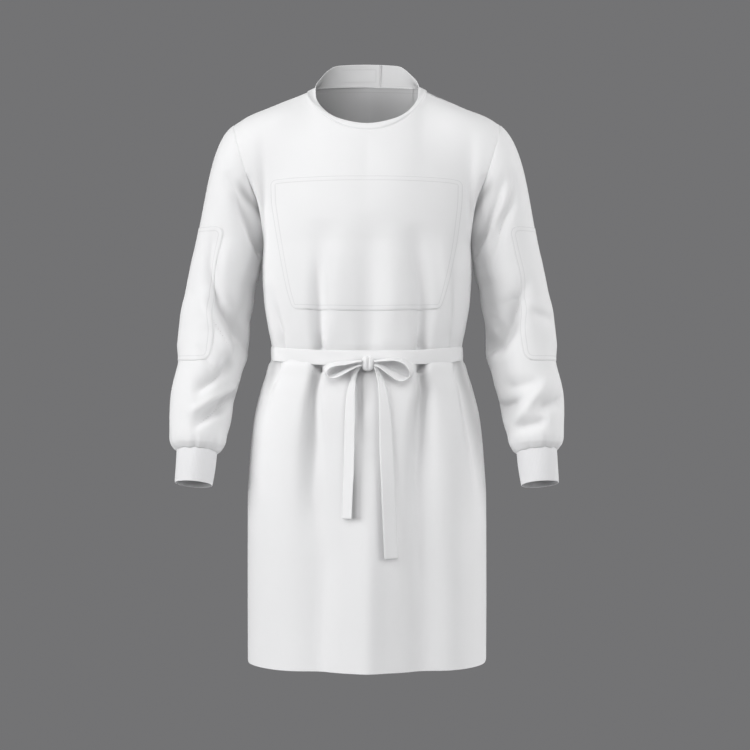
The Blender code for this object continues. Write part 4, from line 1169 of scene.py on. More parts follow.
def loop_grid(loop):
    """Bow loop: a strip from its far edge at the belt to its near edge, pinched at the knot."""
    line = along_points(np.stack(list(loop.values()), axis=-1), LOOP_STEPS)
    place = np.linspace(0.0, 1.0, LOOP_STEPS)
    open_share = (smooth_step(0.0, LOOP_PINCH_SHARE, place)
                  * smooth_step(0.0, LOOP_PINCH_SHARE, 1.0 - place))
    pinch = LOOP_PINCH + (1.0 - LOOP_PINCH) * open_share
    depth_start = belt_front() - LOOP_STAND_OFF
    shares = np.linspace(0.0, 1.0, LOOP_ROWS)
    rows = []
    for share in shares:
        across = line[:, 2] + share * (line[:, 0] - line[:, 2])
        height = line[:, 3] + share * (line[:, 1] - line[:, 3])
        depth = depth_start - 0.5 * LOOP_WIDTH * (1.0 - pinch) - share * LOOP_WIDTH * pinch
        rows.append(xyz(across, depth, height))
    share = shares[:, None]
    near_knot = np.exp(-np.minimum(place, 1.0 - place) / LOOP_CREASE_SHARE)[None, :]
    crease = LOOP_CREASE * np.cos(share * LOOP_CREASE_TURNS * 2.0 * math.pi) * near_knot
    bow = -LOOP_BOW * np.sin(math.pi * share) * (1.0 - near_knot)
    return moved_out(np.array(rows), crease + bow)


def tail_grid(tail):
    """Tail of the belt hanging from the knot over the front, one edge lifted."""
    heights = np.linspace(tail["height"].min(), tail["height"].max(), TAIL_STEPS)
    share = np.linspace(-1.0, 1.0, TAIL_SPAN)
    centre, half, left, right = (read(tail, name, heights)[:, None] for name in TAIL_COLUMNS[1:])
    across = centre + share[None, :] * half
    level = np.broadcast_to(heights[:, None], across.shape)
    depth = front_depth(across, level)
    near = np.minimum.reduce([depth, front_depth(across - TAIL_REACH, level),
                              front_depth(across + TAIL_REACH, level)])
    even = np.ones(TAIL_SPAN) / TAIL_SPAN
    for i in range(near.shape[1]):
        padded = np.pad(near[:, i], TAIL_SPAN // 2, mode="edge")
        near[:, i] = np.convolve(padded, even, mode="valid")
    near = np.minimum(near, depth)
    lift = left + (right - left) * 0.5 * (share[None, :] + 1.0)
    out = near - TAIL_STAND_OFF - lift
    upper = smooth_step(*TAIL_TOP, level)
    front_of_belt = belt_front() - LOOP_STAND_OFF - TAIL_CLEAR
    out = out + (np.minimum(out, front_of_belt) - out) * upper
    crease = TAIL_CREASE * np.cos(share * TAIL_CREASE_TURNS * 2.0 * math.pi)[None, :]
    return xyz(across, out - crease * smooth_step(*TAIL_CREASE_HEIGHTS, level), level)


def cuff_grid(rib_count):
    """Knit cuff with fine ribs, its top tucked inside the sleeve's end."""
    angles = full_turn(4 * rib_count)
    ring, down = sleeve_ring(ARM["height"].min(), angles)
    centre = 0.5 * (ring[0] + ring[2 * rib_count])
    spoke = unit(ring - centre)
    rows = []
    for share in np.concatenate([np.linspace(0.0, 0.97, CUFF_ROWS), CUFF_HEM_SHARES]):
        drop = -CUFF_TUCK + share * (CUFF_DROP + CUFF_TUCK)
        radius = CUFF_TOP_RADIUS + (CUFF_HEM_RADIUS - CUFF_TOP_RADIUS) * share
        belly = CUFF_BELLY * np.sin(math.pi * share)
        rib = RIB_DEPTH * np.cos(angles * rib_count) * smooth_step(*RIB_END, share)
        sway = CUFF_SWAY * np.sin(3.0 * angles + 4.0 * share)
        rows.append(centre + down * drop + spoke * (radius + belly + rib + sway)[:, None])
    return np.array(rows)


def knot_grid():
    """Knot: two turns of the belt drawn together, closed at the top and bottom."""
    turn = full_turn(KNOT_COLUMNS)
    half = 0.5 * np.array(KNOT_SIZE)
    centre = np.array([KNOT_CENTRE[0], belt_front() - half[1] - KNOT_GAP, KNOT_CENTRE[1]])
    rows = []
    for lift in np.linspace(-0.5 * math.pi, 0.5 * math.pi, KNOT_ROWS):
        ring = signed_power(np.cos(lift), KNOT_POWER)
        x = signed_power(np.cos(turn), KNOT_POWER) * ring
        y = signed_power(np.sin(turn), KNOT_POWER) * ring
        z = signed_power(np.sin(lift), KNOT_POWER)
        waist = 1.0 - KNOT_WAIST * (1.0 - abs(z)) + KNOT_TAPER * z
        point = xyz(x * half[0] * waist, y * half[1], np.full_like(x, z) * half[2])
        groove = sum(deep * np.exp(-((point[:, 0] - place - slant * point[:, 2]) / wide) ** 2)
                     for deep, place, slant, wide in KNOT_GROOVES)
        point[:, 1] += groove * np.clip(-y, 0.0, 1.0)
        rows.append(centre + point)
    return np.array(rows)[:, ::-1]


# ---------------------------------------------------------------- meshes
def cloth_places(grid):
    """Distances along the cloth from its middle column and from its first row."""
    u = run_along(grid, 1)
    u = u - u[:, [grid.shape[1] // 2]]
    return xyz(u, run_along(grid), np.zeros_like(u))


def quads(rows, columns, closed, flip):
    j, i = np.mgrid[0:rows - 1, 0:columns if closed else columns - 1]
    k = (i + 1) % columns
    faces = np.stack([j * columns + i, j * columns + k, (j + 1) * columns + k,
                      (j + 1) * columns + i], axis=-1).reshape(-1, 4)
    return faces[:, ::-1] if flip else faces


def border_loops(rows, columns, closed):
    """Open edges of a grid as loops of point numbers, the cloth on their left."""
    ids = np.arange(rows * columns).reshape(rows, columns)
    if closed:
        return [ids[0], ids[-1][::-1]]
    return [np.concatenate([ids[0, :-1], ids[:-1, -1], ids[-1, :0:-1], ids[:0:-1, 0]])]


def new_mesh(name, points, faces):
    mesh = bpy.data.meshes.new(name)
    mesh.from_pydata(np.asarray(points).tolist(), [], faces)
    return mesh


def shell(name, grid, wall, material, closed=False, edge=None, rest=0.0, lining=None,
          shade=None, shade_inside=None):
    """Cloth as a closed thin shell: its outside, its inside and rounded rims."""
    rows, columns = grid.shape[:2]
    normals = grid_normals(grid, closed)
    inside = grid + normals * rest
    outside = inside + normals * wall
    count = rows * columns
    outer = outside.reshape(-1, 3)
    inner = inside.reshape(-1, 3)
    middle = 0.5 * (outer + inner)
    points = [outer, inner]
    faces = [quads(rows, columns, closed, False), quads(rows, columns, closed, True) + count]
    source = [np.arange(count), np.arange(count)]
    start = 2 * count
    for loop in border_loops(rows, columns, closed):
        way = unit(np.roll(middle[loop], -1, axis=0) - np.roll(middle[loop], 1, axis=0))
        away = unit(np.cross(way, normals.reshape(-1, 3)[loop]))
        points.append(middle[loop] + away * wall * 0.4)
        rim = start + np.arange(len(loop))
        here, following = loop, np.roll(loop, -1)
        rim_following = np.roll(rim, -1)
        faces.append(np.stack([following, here, rim, rim_following], axis=-1))
        faces.append(np.stack([rim_following, rim, here + count, following + count], axis=-1))
        source.append(loop)
        start += len(loop)
    picked = np.concatenate(source)
    mesh = new_mesh(name, np.concatenate(points), np.concatenate(faces).tolist())
    add_numbers(mesh, "cloth_place", cloth_places(grid).reshape(-1, 3)[picked])
    if edge is not None:
        add_numbers(mesh, "edge_distance", np.ravel(edge)[picked])
    # Amounts of painted shade for the outer and the inner face, read by the cloth's material.
    if shade is not None:
        painted_shade_values = np.ravel(shade)[picked]
        painted_shade_values[count:2 * count] = np.ravel(shade if shade_inside is None else shade_inside)
        add_numbers(mesh, "soft_shade", painted_shade_values)
    piece = new_piece(name, mesh, material)
    if lining is not None:
        mesh.materials.append(lining)
        inner_faces = np.zeros(len(mesh.polygons), np.int32)
        inner_faces[len(faces[0]):2 * len(faces[0])] = 1
        mesh.polygons.foreach_set("material_index", inner_faces)
    return piece


def add_numbers(mesh, name, values):
    kind = "FLOAT_VECTOR" if np.ndim(values) == 2 else "FLOAT"
    attribute = mesh.attributes.new(name, kind, "POINT")
    field = "vector" if kind == "FLOAT_VECTOR" else "value"
    attribute.data.foreach_set(field, np.ascontiguousarray(values, np.float32).ravel())


def new_piece(name, mesh, material):
    mesh.validate()
    mesh.update()
    mesh.materials.append(material)
    mesh.shade_smooth()
    piece = bpy.data.objects.new(name, mesh)
    bpy.context.scene.collection.objects.link(piece)
    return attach(piece, "root")


def beads(name, lines, sizes, material):
    """Thread stitches lying along lines of (points, normals), each a small bead."""
    tip = 0.5 * sizes.stitch_length
    wide = 0.5 * sizes.stitch_width
    ring = [(math.cos(a), math.sin(a)) for a in np.linspace(0.0, 2.0 * math.pi, 6)[:-1]]
    body = [(-tip, 0.0, 0.0)]
    for along in (-0.55 * tip, 0.55 * tip):
        body += [(along, wide * c, 0.7 * wide * s) for c, s in ring]
    body.append((tip, 0.0, 0.0))
    body = np.array(body)
    faces = [(0, 1 + (k + 1) % 5, 1 + k) for k in range(5)]
    faces += [(1 + k, 1 + (k + 1) % 5, 6 + (k + 1) % 5, 6 + k) for k in range(5)]
    faces += [(11, 6 + k, 6 + (k + 1) % 5) for k in range(5)]
    points = []
    shapes = []
    for line, normals in lines:
        far = run_along(line)
        for k in np.arange(0.5 * sizes.stitch_pitch, far[-1], sizes.stitch_pitch):
            here, ahead, behind = (at_distance(k + step, far, line) for step in (0.0, 0.001, -0.001))
            way = unit(ahead - behind)
            side = np.cross(unit(at_distance(k, far, normals)), way)
            start = len(points) * len(body)
            points.append(here + body @ np.array([way, side, np.cross(way, side)]))
            shapes += [tuple(start + n for n in face) for face in faces]
    return new_piece(name, new_mesh(name, np.concatenate(points), shapes), material)


def on_patch(grid, metres, wanted):
    """Points of a patch at wanted distances across and along it."""
    rows = np.interp(wanted[:, 1], metres[:, 0, 1], np.arange(grid.shape[0]))
    found = []
    for (x, _), row in zip(wanted, rows):
        j = int(min(row, grid.shape[0] - 2))
        v = row - j
        spots = metres[j, :, 0] * (1 - v) + metres[j + 1, :, 0] * v
        found.append(at_distance(x, spots, grid[j] * (1 - v) + grid[j + 1] * v))
    return np.array(found)


def rounded_loop(size, inset, corner):
    """Rounded rectangle inside a patch, in metres across and along it."""
    radius = max(corner - inset, 0.001)
    low = inset + radius
    right, top = size[0] - inset - radius, size[1] - inset - radius
    points = []
    for cx, cy, first in ((right, top, 0.0), (low, top, 90.0), (low, low, 180.0),
                          (right, low, 270.0)):
        for a in np.radians(first + np.linspace(0.0, 90.0, 9)):
            points.append((cx + radius * math.cos(a), cy + radius * math.sin(a)))
    points = np.array(points + points[:1])
    far = run_along(points)
    return at_distance(np.arange(0.0, far[-1], 0.002), far, points)


def edge_distance(metres, size, corner):
    """Distance in from the edge of a patch with rounded corners."""
    half = 0.5 * np.array(size)
    out = np.abs(metres - half) - (half - corner)
    beyond = np.linalg.norm(np.maximum(out, 0.0), axis=-1)
    return corner - beyond - np.minimum(out.max(axis=-1), 0.0)


def patch_lines(surface, metres, size, corner):
    """Needle rows of a patch as lines of (points, normals)."""
    normals = grid_normals(surface)
    loops = [rounded_loop(size, inset, corner) for inset in NEEDLE_ROWS]
    return [(on_patch(surface, metres, loop), on_patch(normals, metres, loop)) for loop in loops]


def seated_patch(grid, edge):
    """Patch lifted on to the cloth under it, lower along its edge."""
    return moved_out(grid, PATCH_LIFT - PATCH_PRESS * np.exp(-(edge / PATCH_EDGE) ** 2))


# ---------------------------------------------------------------- node groups and materials
# A tone is a share of the cloth's own colour, and a mask says how much of it shows.
UNEVEN_TONE = 0.955
GAP_TONE, GAP_MASK = 0.72, 0.10
# Needle lines: the bump presses a groove, and painted shade darkens the colour along it.
NEEDLE_SHADE_TONE, NEEDLE_MASK, NEEDLE_DEPTH = 0.62, 0.30, 2.0
# Painted shade: the neckband's inner face is a darker copy of its cloth.
BAND_INSIDE_SHADE_TONE = 0.84
# How far the painted shade of the soft_shade attribute darkens the cloth towards black.
SHADE_MASK = 0.5
CLOTH_THREADS, BELT_THREADS = 1800.0, 1500.0


def group(name, inputs, outputs):
    """Node group of numbers; an input without a default is a vector."""
    tree = bpy.data.node_groups.new(name, "ShaderNodeTree")
    for label, default in inputs.items():
        kind = "NodeSocketVector" if default is None else "NodeSocketFloat"
        socket = tree.interface.new_socket(label, in_out="INPUT", socket_type=kind)
        if default is not None:
            socket.default_value = default
    for label in outputs:
        tree.interface.new_socket(label, in_out="OUTPUT", socket_type="NodeSocketFloat")
    source = tree.nodes.new("NodeGroupInput")
    result = tree.nodes.new("NodeGroupOutput")
    return tree, source.outputs, result.inputs


def feed(tree, value, socket):
    """Link an output to a socket, or set the socket to a number or a colour."""
    if isinstance(value, bpy.types.NodeSocket):
        tree.links.new(value, socket)
    else:
        socket.default_value = (*value, 1.0) if isinstance(value, tuple) else value


def add_node(tree, kind, values=None, **settings):
    """Shader node with its settings and with values fed to its inputs."""
    node = tree.nodes.new("ShaderNode" + kind)
    for name, setting in settings.items():
        setattr(node, name, setting)
    for key, value in (values or {}).items():
        feed(tree, value, node.inputs[key])
    return node


def calc(tree, operation, *values, clamp=False):
    """Result of a math node."""
    node = add_node(tree, "Math", dict(enumerate(values)), operation=operation, use_clamp=clamp)
    return node.outputs[0]


def attribute(tree, name, output):
    return add_node(tree, "Attribute", attribute_name=name).outputs[output]


def noise(tree, scale, detail=2.0):
    """Noise over the object's own metres."""
    where = add_node(tree, "TexCoord").outputs["Object"]
    return add_node(tree, "TexNoise", {"Vector": where, "Scale": scale, "Detail": detail}).outputs[0]


@lru_cache(maxsize=None)
def weave_group():
    """Plain weave over the cloth's own distances: one thread over, one under."""
    tree, source, result = group("Plain weave", {"Place": None, "Threads": CLOTH_THREADS},
                                 ("Height", "Gap"))
    place = add_node(tree, "SeparateXYZ", {0: source["Place"]}).outputs
    turns = calc(tree, "MULTIPLY", source["Threads"], math.pi)
    warp, weft = (calc(tree, "SINE", calc(tree, "MULTIPLY", place[k], turns)) for k in (0, 1))
    over = calc(tree, "MULTIPLY", warp, weft)
    feed(tree, calc(tree, "MULTIPLY_ADD", over, 0.5, 0.5), result["Height"])
    gap = calc(tree, "SUBTRACT", 1.0, calc(tree, "ABSOLUTE", over), clamp=True)
    feed(tree, gap, result["Gap"])
    return tree


@lru_cache(maxsize=None)
def softness_group():
    """Slow unevenness of the cloth's tone and surface, and its fine lint."""
    tree, source, result = group("Cloth unevenness", {"Size": 9.0}, ("Tone", "Height"))
    broad = noise(tree, source["Size"], 3.0)
    fine = noise(tree, 420.0)
    lint = calc(tree, "MULTIPLY", fine, 0.2)
    feed(tree, calc(tree, "MULTIPLY_ADD", broad, 0.8, lint), result["Tone"])
    feed(tree, fine, result["Height"])
    return tree


@lru_cache(maxsize=None)
def needle_group():
    """Line that a needle leaves in cloth at a distance in from the edge."""
    tree, source, result = group(
        "Needle line", {"Distance": 0.0, "Line": 0.0016, "Half width": 0.001}, ("Mask",))
    away = calc(tree, "ABSOLUTE", calc(tree, "SUBTRACT", source["Distance"], source["Line"]))
    share = calc(tree, "DIVIDE", away, source["Half width"], clamp=True)
    mask = calc(tree, "SUBTRACT", 1.0, calc(tree, "MULTIPLY", share, share), clamp=True)
    feed(tree, mask, result["Mask"])
    return tree


@lru_cache(maxsize=None)
def knit_group():
    """Rows of knit stitches over the ribs of a cuff."""
    tree, source, result = group("Rib knit", {"Place": None, "Stitch": 0.0012},
                                 ("Height", "Tone"))
    place = add_node(tree, "SeparateXYZ", {0: source["Place"]}).outputs
    turns = calc(tree, "DIVIDE", 2.0 * math.pi, source["Stitch"])
    across, along = (calc(tree, "MULTIPLY", place[k], turns) for k in (0, 1))
    slant = calc(tree, "ABSOLUTE", calc(tree, "SINE", calc(tree, "MULTIPLY", across, 0.5)))
    row = calc(tree, "SINE", calc(tree, "ADD", along, calc(tree, "MULTIPLY", slant, 2.4)))
    feed(tree, calc(tree, "MULTIPLY_ADD", row, 0.35, slant), result["Height"])
    feed(tree, calc(tree, "MULTIPLY_ADD", row, 0.5, 0.5), result["Tone"])
    return tree


def place_group(tree, maker, values=None):
    return add_node(tree, "Group", values, node_tree=maker()).outputs


def blend_colours(tree, mask, first, second):
    values = {"Factor": mask, 6: first, 7: second}
    return add_node(tree, "Mix", values, data_type="RGBA").outputs[2]


def darker(colour, share):
    return tuple(channel * share for channel in colour)


def new_material(name, values):
    """Material with values for its main shader's inputs."""
    material = bpy.data.materials.new(name)
    material.use_nodes = True
    tree = material.node_tree
    shader = tree.nodes["Principled BSDF"]
    for key, value in values.items():
        shader.inputs[key].default_value = value
    return material, tree, shader.inputs


def add_bump(tree, shader, height, strength, distance):
    values = {"Strength": strength, "Distance": distance, "Height": height}
    feed(tree, add_node(tree, "Bump", values).outputs[0], shader["Normal"])


def cloth_material(name, colour, threads=CLOTH_THREADS, needle_rows=(), shade=0.0):
    """Smooth matte cloth: weave, slow unevenness, painted shade in its hollows and, on seams, needle
    lines darkened by painted shade.
    """
    material, tree, shader = new_material(name, {
        "Roughness": 0.88, "Specular IOR Level": 0.28, "Sheen Weight": 0.12,
        "Sheen Roughness": 0.45})
    place = attribute(tree, "cloth_place", "Vector")
    weave = place_group(tree, weave_group, {"Threads": threads, "Place": place})
    soft = place_group(tree, softness_group)
    tone = blend_colours(tree, soft["Tone"], colour, darker(colour, UNEVEN_TONE))
    gap = calc(tree, "MULTIPLY", weave["Gap"], GAP_MASK)
    tone = blend_colours(tree, gap, tone, darker(colour, GAP_TONE))
    # Painted shade: the soft_shade attribute darkens the colour towards black in creases, beside the
    # armholes and inside the neck and neckband.
    if shade:
        hollow = calc(tree, "MULTIPLY", attribute(tree, "soft_shade", "Fac"), shade)
        tone = blend_colours(tree, hollow, tone, darker(colour, 0.0))
    height = calc(tree, "MULTIPLY_ADD", weave["Height"], 0.5, soft["Height"])
    if needle_rows:
        edge = attribute(tree, "edge_distance", "Fac")
        mask, *others = (place_group(tree, needle_group, {"Line": row, "Distance": edge})["Mask"]
                         for row in needle_rows)
        for other in others:
            mask = calc(tree, "MAXIMUM", mask, other)
        # Painted shade darkens the colour along the needle lines; the bump below presses their groove.
        line = calc(tree, "MULTIPLY", mask, NEEDLE_MASK)
        tone = blend_colours(tree, line, tone, darker(colour, NEEDLE_SHADE_TONE))
        height = calc(tree, "SUBTRACT", height, calc(tree, "MULTIPLY", mask, NEEDLE_DEPTH))
    feed(tree, tone, shader["Base Color"])
    add_bump(tree, shader, height, strength=0.35, distance=0.00012)
    return material


def knit_material(name, colour):
    """Fine rib knit of the cuffs."""
    material, tree, shader = new_material(name, {
        "Roughness": 0.92, "Specular IOR Level": 0.22, "Sheen Weight": 0.18,
        "Sheen Roughness": 0.5})
    place = attribute(tree, "cloth_place", "Vector")
    knit = place_group(tree, knit_group, {"Place": place})
    soft = place_group(tree, softness_group)
    tone = blend_colours(tree, soft["Tone"], colour, darker(colour, 0.95))
    row = calc(tree, "MULTIPLY", knit["Tone"], 0.16)
    feed(tree, blend_colours(tree, row, tone, darker(colour, 0.7)), shader["Base Color"])
    add_bump(tree, shader, knit["Height"], strength=0.5, distance=0.0002)
    return material


def uneven_material(name, colour, roughness, scale, dark):
    """Matte surface whose tone varies a little, for the thread and the floor."""
    material, tree, shader = new_material(name, {"Roughness": roughness})
    tone = blend_colours(tree, noise(tree, scale), colour, darker(colour, dark))
    feed(tree, tone, shader["Base Color"])
    return material


@lru_cache(maxsize=None)
def finish(name):
    """Finish of a piece by name, made once with the user's colours."""
    colours = bpy.context.scene.gown_colours
    cloth = tuple(colours.cloth)
    if name == "gown_cloth":
        return cloth_material(name, cloth, shade=SHADE_MASK)
    # The inner face: the cloth's colour darkened by painted shade, with the soft_shade attribute on
    # top.
    if name == "gown_cloth_inside_painted_shade":
        return cloth_material(name, tuple(colours.inside), needle_rows=(SEAM_TAPE,),
                              shade=SHADE_MASK)
    if name == "stitched_cloth":
        return cloth_material(name, tuple(colours.reinforcement), needle_rows=NEEDLE_ROWS)
    if name == "band_cloth":
        return cloth_material(name, cloth, needle_rows=(BAND_NEEDLE_ROW,))
    # The neckband's inner face: darker by painted shade, with the soft_shade attribute on top.
    if name == "band_cloth_inside_painted_shade":
        return cloth_material(name, darker(cloth, BAND_INSIDE_SHADE_TONE),
                              needle_rows=(BAND_NEEDLE_ROW,), shade=SHADE_MASK)
    if name == "belt_cloth":
        return cloth_material(name, tuple(colours.belt), threads=BELT_THREADS)
    if name == "cuff_knit":
        return knit_material(name, tuple(colours.knit))
    return uneven_material(name, tuple(colours.thread), roughness=0.7, scale=2400.0, dark=0.86)


# ---------------------------------------------------------------- settings
class GownSizes(bpy.types.PropertyGroup):
    """Sizes of the cloth, the sewing and the stage."""

    cloth_thickness: bpy.props.FloatProperty(
        name="Cloth thickness", description="Thickness of the gown's single cloth",
        default=0.0006, min=0.0003, max=0.001, unit="LENGTH")
    band_thickness: bpy.props.FloatProperty(
        name="Band thickness", description="Thickness of the doubled neckband and belt",
        default=0.0011, min=0.0005, max=0.002, unit="LENGTH")
    cuff_thickness: bpy.props.FloatProperty(
        name="Cuff thickness", description="Thickness of the knit cuffs",
        default=0.0013, min=0.0008, max=0.002, unit="LENGTH")
    rib_count: bpy.props.IntProperty(
        name="Cuff ribs", description="Ribs round each knit cuff", default=84, min=30, max=120)
    stitch_length: bpy.props.FloatProperty(
        name="Stitch length", description="Length of one visible stitch",
        default=0.0021, min=0.001, max=0.004, unit="LENGTH")
    stitch_pitch: bpy.props.FloatProperty(
        name="Stitch spacing", description="Distance from one stitch to the next",
        default=0.0030, min=0.0015, max=0.006, unit="LENGTH")
    stitch_width: bpy.props.FloatProperty(
        name="Thread width", description="Width of the sewing thread",
        default=0.00045, min=0.0002, max=0.001, unit="LENGTH")
    floor_drop: bpy.props.FloatProperty(
        name="Floor distance", description="Distance from the hem down to the floor",
        default=0.45, min=0.1, max=1.0, unit="LENGTH")
    floor_radius: bpy.props.FloatProperty(
        name="Floor radius", description="Radius of the round floor",
        default=1.28, min=0.6, max=1.3, unit="LENGTH")


class GownColours(bpy.types.PropertyGroup):
    """Colours of the cloth, the knit, the thread and the stage."""

    cloth: bpy.props.FloatVectorProperty(
        name="Cloth", description="Colour of the gown's cloth", subtype="COLOR",
        default=(0.825, 0.825, 0.830), min=0.0, max=1.0)
    # The cloth's inner face is the same cloth with painted shade: a darker colour for the shade inside
    # the gown.
    inside: bpy.props.FloatVectorProperty(
        name="Cloth inside", description="Colour of the cloth's inner face", subtype="COLOR",
        default=(0.59, 0.59, 0.595), min=0.0, max=1.0)
    reinforcement: bpy.props.FloatVectorProperty(
        name="Reinforcement", description="Colour of the second layers on chest and sleeves",
        subtype="COLOR", default=(0.822, 0.822, 0.827), min=0.0, max=1.0)
    belt: bpy.props.FloatVectorProperty(
        name="Belt", description="Colour of the belt and its bow", subtype="COLOR",
        default=(0.832, 0.832, 0.837), min=0.0, max=1.0)
    knit: bpy.props.FloatVectorProperty(
        name="Knit", description="Colour of the knit cuffs", subtype="COLOR",
        default=(0.80, 0.80, 0.81), min=0.0, max=1.0)
    thread: bpy.props.FloatVectorProperty(
        name="Thread", description="Colour of the sewing thread", subtype="COLOR",
        default=(0.70, 0.70, 0.71), min=0.0, max=1.0)
    floor: bpy.props.FloatVectorProperty(
        name="Floor", description="Colour of the floor", subtype="COLOR",
        default=(0.62, 0.62, 0.63), min=0.0, max=1.0)
    backdrop: bpy.props.FloatVectorProperty(
        name="Backdrop", description="Colour of the plain background", subtype="COLOR",
        default=(0.171, 0.171, 0.175), min=0.0, max=1.0)


# ---------------------------------------------------------------- operators
class GOWN_OT_front(bpy.types.Operator):
    """Make the front panel"""

    bl_idname = "gown.front"
    bl_label = "Front panel"

    def execute(self, context):
        sizes = context.scene.gown_sizes
        grid = rolled(body_grid(False), ("first", "last", "high"))
        piece = shell("front_cloth", grid, sizes.cloth_thickness, finish("gown_cloth"), rest=CLOTH_REST,
                      edge=top_distance(grid), lining=finish("gown_cloth_inside_painted_shade"),
                      shade=front_shade(grid))
        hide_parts("front_panel")
        return {"FINISHED"}


class GOWN_OT_backs(bpy.types.Operator):
    """Make both back panels, the wearer's left one lapped over the right one"""

    bl_idname = "gown.backs"
    bl_label = "Back panels"

    def execute(self, context):
        sizes = context.scene.gown_sizes
        columns = body_columns()
        grid = rolled(body_grid(True), ("first", "last", "high"))
        right = columns >= RIGHT_BACK_START - 1e-9
        left = columns <= LEFT_BACK_END + 1e-9
        lapped = moved_out(grid, np.broadcast_to(lap(columns), grid.shape[:2]))
        far = top_distance(grid)
        # Painted shade beside the armholes outside, and below the neck on the back's inner face.
        shade, neck_painted_shade = armhole_shade(grid), neck_shade(grid)
        near = 1.0 - smooth_step(0.0, INNER_LAP_SHARE, columns - RIGHT_BACK_START)
        tucked = moved_out(grid, np.broadcast_to(INNER_LAP_LIFT * near, grid.shape[:2]))
        for label, whole, kept in (("right", tucked, right), ("left", lapped, left)):
            piece = shell("back_cloth_" + label, edged(whole[:, kept]), sizes.cloth_thickness,
                          finish("gown_cloth"), rest=CLOTH_REST, edge=edged(far[:, kept]),
                          lining=finish("gown_cloth_inside_painted_shade"), shade=edged(shade[:, kept]),
                          shade_inside=edged(neck_painted_shade[:, kept]))
            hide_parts("back_panel_" + label)
        return {"FINISHED"}


class GOWN_OT_sleeves(bpy.types.Operator):
    """Make both sleeves, gathered at their ends"""

    bl_idname = "gown.sleeves"
    bl_label = "Sleeves"

    def execute(self, context):
        sizes = context.scene.gown_sizes
        for side, label in SIDES:
            grid = rolled(sleeve_grid(side), ("low",), closed=True)
            shade = sleeve_shade(side, grid)
            if side > 0:
                grid, shade = mirrored(grid), shade[:, ::-1]
            piece = shell("sleeve_cloth_" + label, grid, sizes.cloth_thickness,
                          finish("gown_cloth"), closed=True, rest=CLOTH_REST,
                          edge=np.full(grid.shape[:2], 1.0), lining=finish("gown_cloth_inside_painted_shade"),
                          shade=shade)
            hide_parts("sleeve_" + label)
        return {"FINISHED"}


class GOWN_OT_cuffs(bpy.types.Operator):
    """Make both knit cuffs"""

    bl_idname = "gown.cuffs"
    bl_label = "Knit cuffs"

    def execute(self, context):
        sizes = context.scene.gown_sizes
        for side, label in SIDES:
            grid = cuff_grid(sizes.rib_count)
            if side > 0:
                grid = mirrored(grid)
            piece = shell("cuff_knit_" + label, grid, sizes.cuff_thickness,
                          finish("cuff_knit"), closed=True)
            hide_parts("cuff_" + label)
        return {"FINISHED"}


class GOWN_OT_neckband(bpy.types.Operator):
    """Make the neckband, one folded strip with its ends overlapped behind"""

    bl_idname = "gown.neckband"
    bl_label = "Neckband"

    def execute(self, context):
        sizes = context.scene.gown_sizes
        grid = rolled(neckband_grid(), ("low",), depth=BAND_ROLL)
        far = run_along(grid)
        folded_edge = far[-1:] - far + BAND_FOLD_MARGIN
        edge = np.minimum(np.minimum(far, folded_edge), side_distance(grid))
        edge = np.minimum(edge, BAND_NEEDLE_ROW + stitch_distance(run_along(grid, 1), far))
        piece = shell("neckband_cloth", grid, sizes.band_thickness, finish("band_cloth"),
                      edge=edge, lining=finish("band_cloth_inside_painted_shade"),
                      shade=np.broadcast_to(band_shade(), grid.shape[:2]))
        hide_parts("neckband")
        path = np.array([on_band(grid, *corner) for corner in BAND_STITCHES])
        inward = np.array([on_band(-grid_normals(grid), *corner) for corner in BAND_STITCHES])
        thread = beads("neckband_stitches", [(path, inward)], sizes, finish("thread"))
        return {"FINISHED"}


class GOWN_OT_chest_reinforcement(bpy.types.Operator):
    """Make the second layer on the chest and its double row of stitches"""

    bl_idname = "gown.chest_reinforcement"
    bl_label = "Chest reinforcement"

    def execute(self, context):
        sizes = context.scene.gown_sizes
        grid, metres = chest_patch_grid()
        edge = edge_distance(metres, CHEST_SIZE, CHEST_CORNER)
        seated = seated_patch(grid, edge)
        piece = shell("chest_reinforcement_cloth", seated, sizes.cloth_thickness,
                      finish("stitched_cloth"), edge=edge)
        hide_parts("chest_reinforcement")
        surface = moved_out(seated, sizes.cloth_thickness)
        lines = patch_lines(surface, metres, CHEST_SIZE, CHEST_CORNER)
        thread = beads("chest_stitches", lines, sizes, finish("thread"))
        return {"FINISHED"}


class GOWN_OT_sleeve_reinforcements(bpy.types.Operator):
    """Make the second layers over the elbows and their double rows of stitches"""

    bl_idname = "gown.sleeve_reinforcements"
    bl_label = "Sleeve reinforcements"

    def execute(self, context):
        sizes = context.scene.gown_sizes
        for side, label in SIDES:
            grid, metres = sleeve_patch_grid(side)
            edge = edge_distance(metres, SLEEVE_PATCH_SIZE, SLEEVE_PATCH_CORNER)
            seated = seated_patch(grid, edge)
            surface = moved_out(seated, sizes.cloth_thickness)
            lines = patch_lines(surface, metres, SLEEVE_PATCH_SIZE, SLEEVE_PATCH_CORNER)
            if side > 0:
                seated, edge = mirrored(seated), edge[:, ::-1]
                lines = [(line * MIRROR, normals * MIRROR) for line, normals in lines]
            piece = shell("sleeve_reinforcement_cloth_" + label, seated, sizes.cloth_thickness,
                          finish("stitched_cloth"), edge=edge)
            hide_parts("sleeve_reinforcement_" + label)
            thread = beads("sleeve_stitches_" + label, lines, sizes, finish("thread"))
        return {"FINISHED"}


class GOWN_OT_belt(bpy.types.Operator):
    """Make the belt round the waist"""

    bl_idname = "gown.belt"
    bl_label = "Belt"

    def execute(self, context):
        sizes = context.scene.gown_sizes
        grid = belt_grid()
        piece = shell("belt_cloth", grid, sizes.band_thickness, finish("belt_cloth"), closed=True,
                      edge=strip_edge(grid))
        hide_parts("belt")
        return {"FINISHED"}


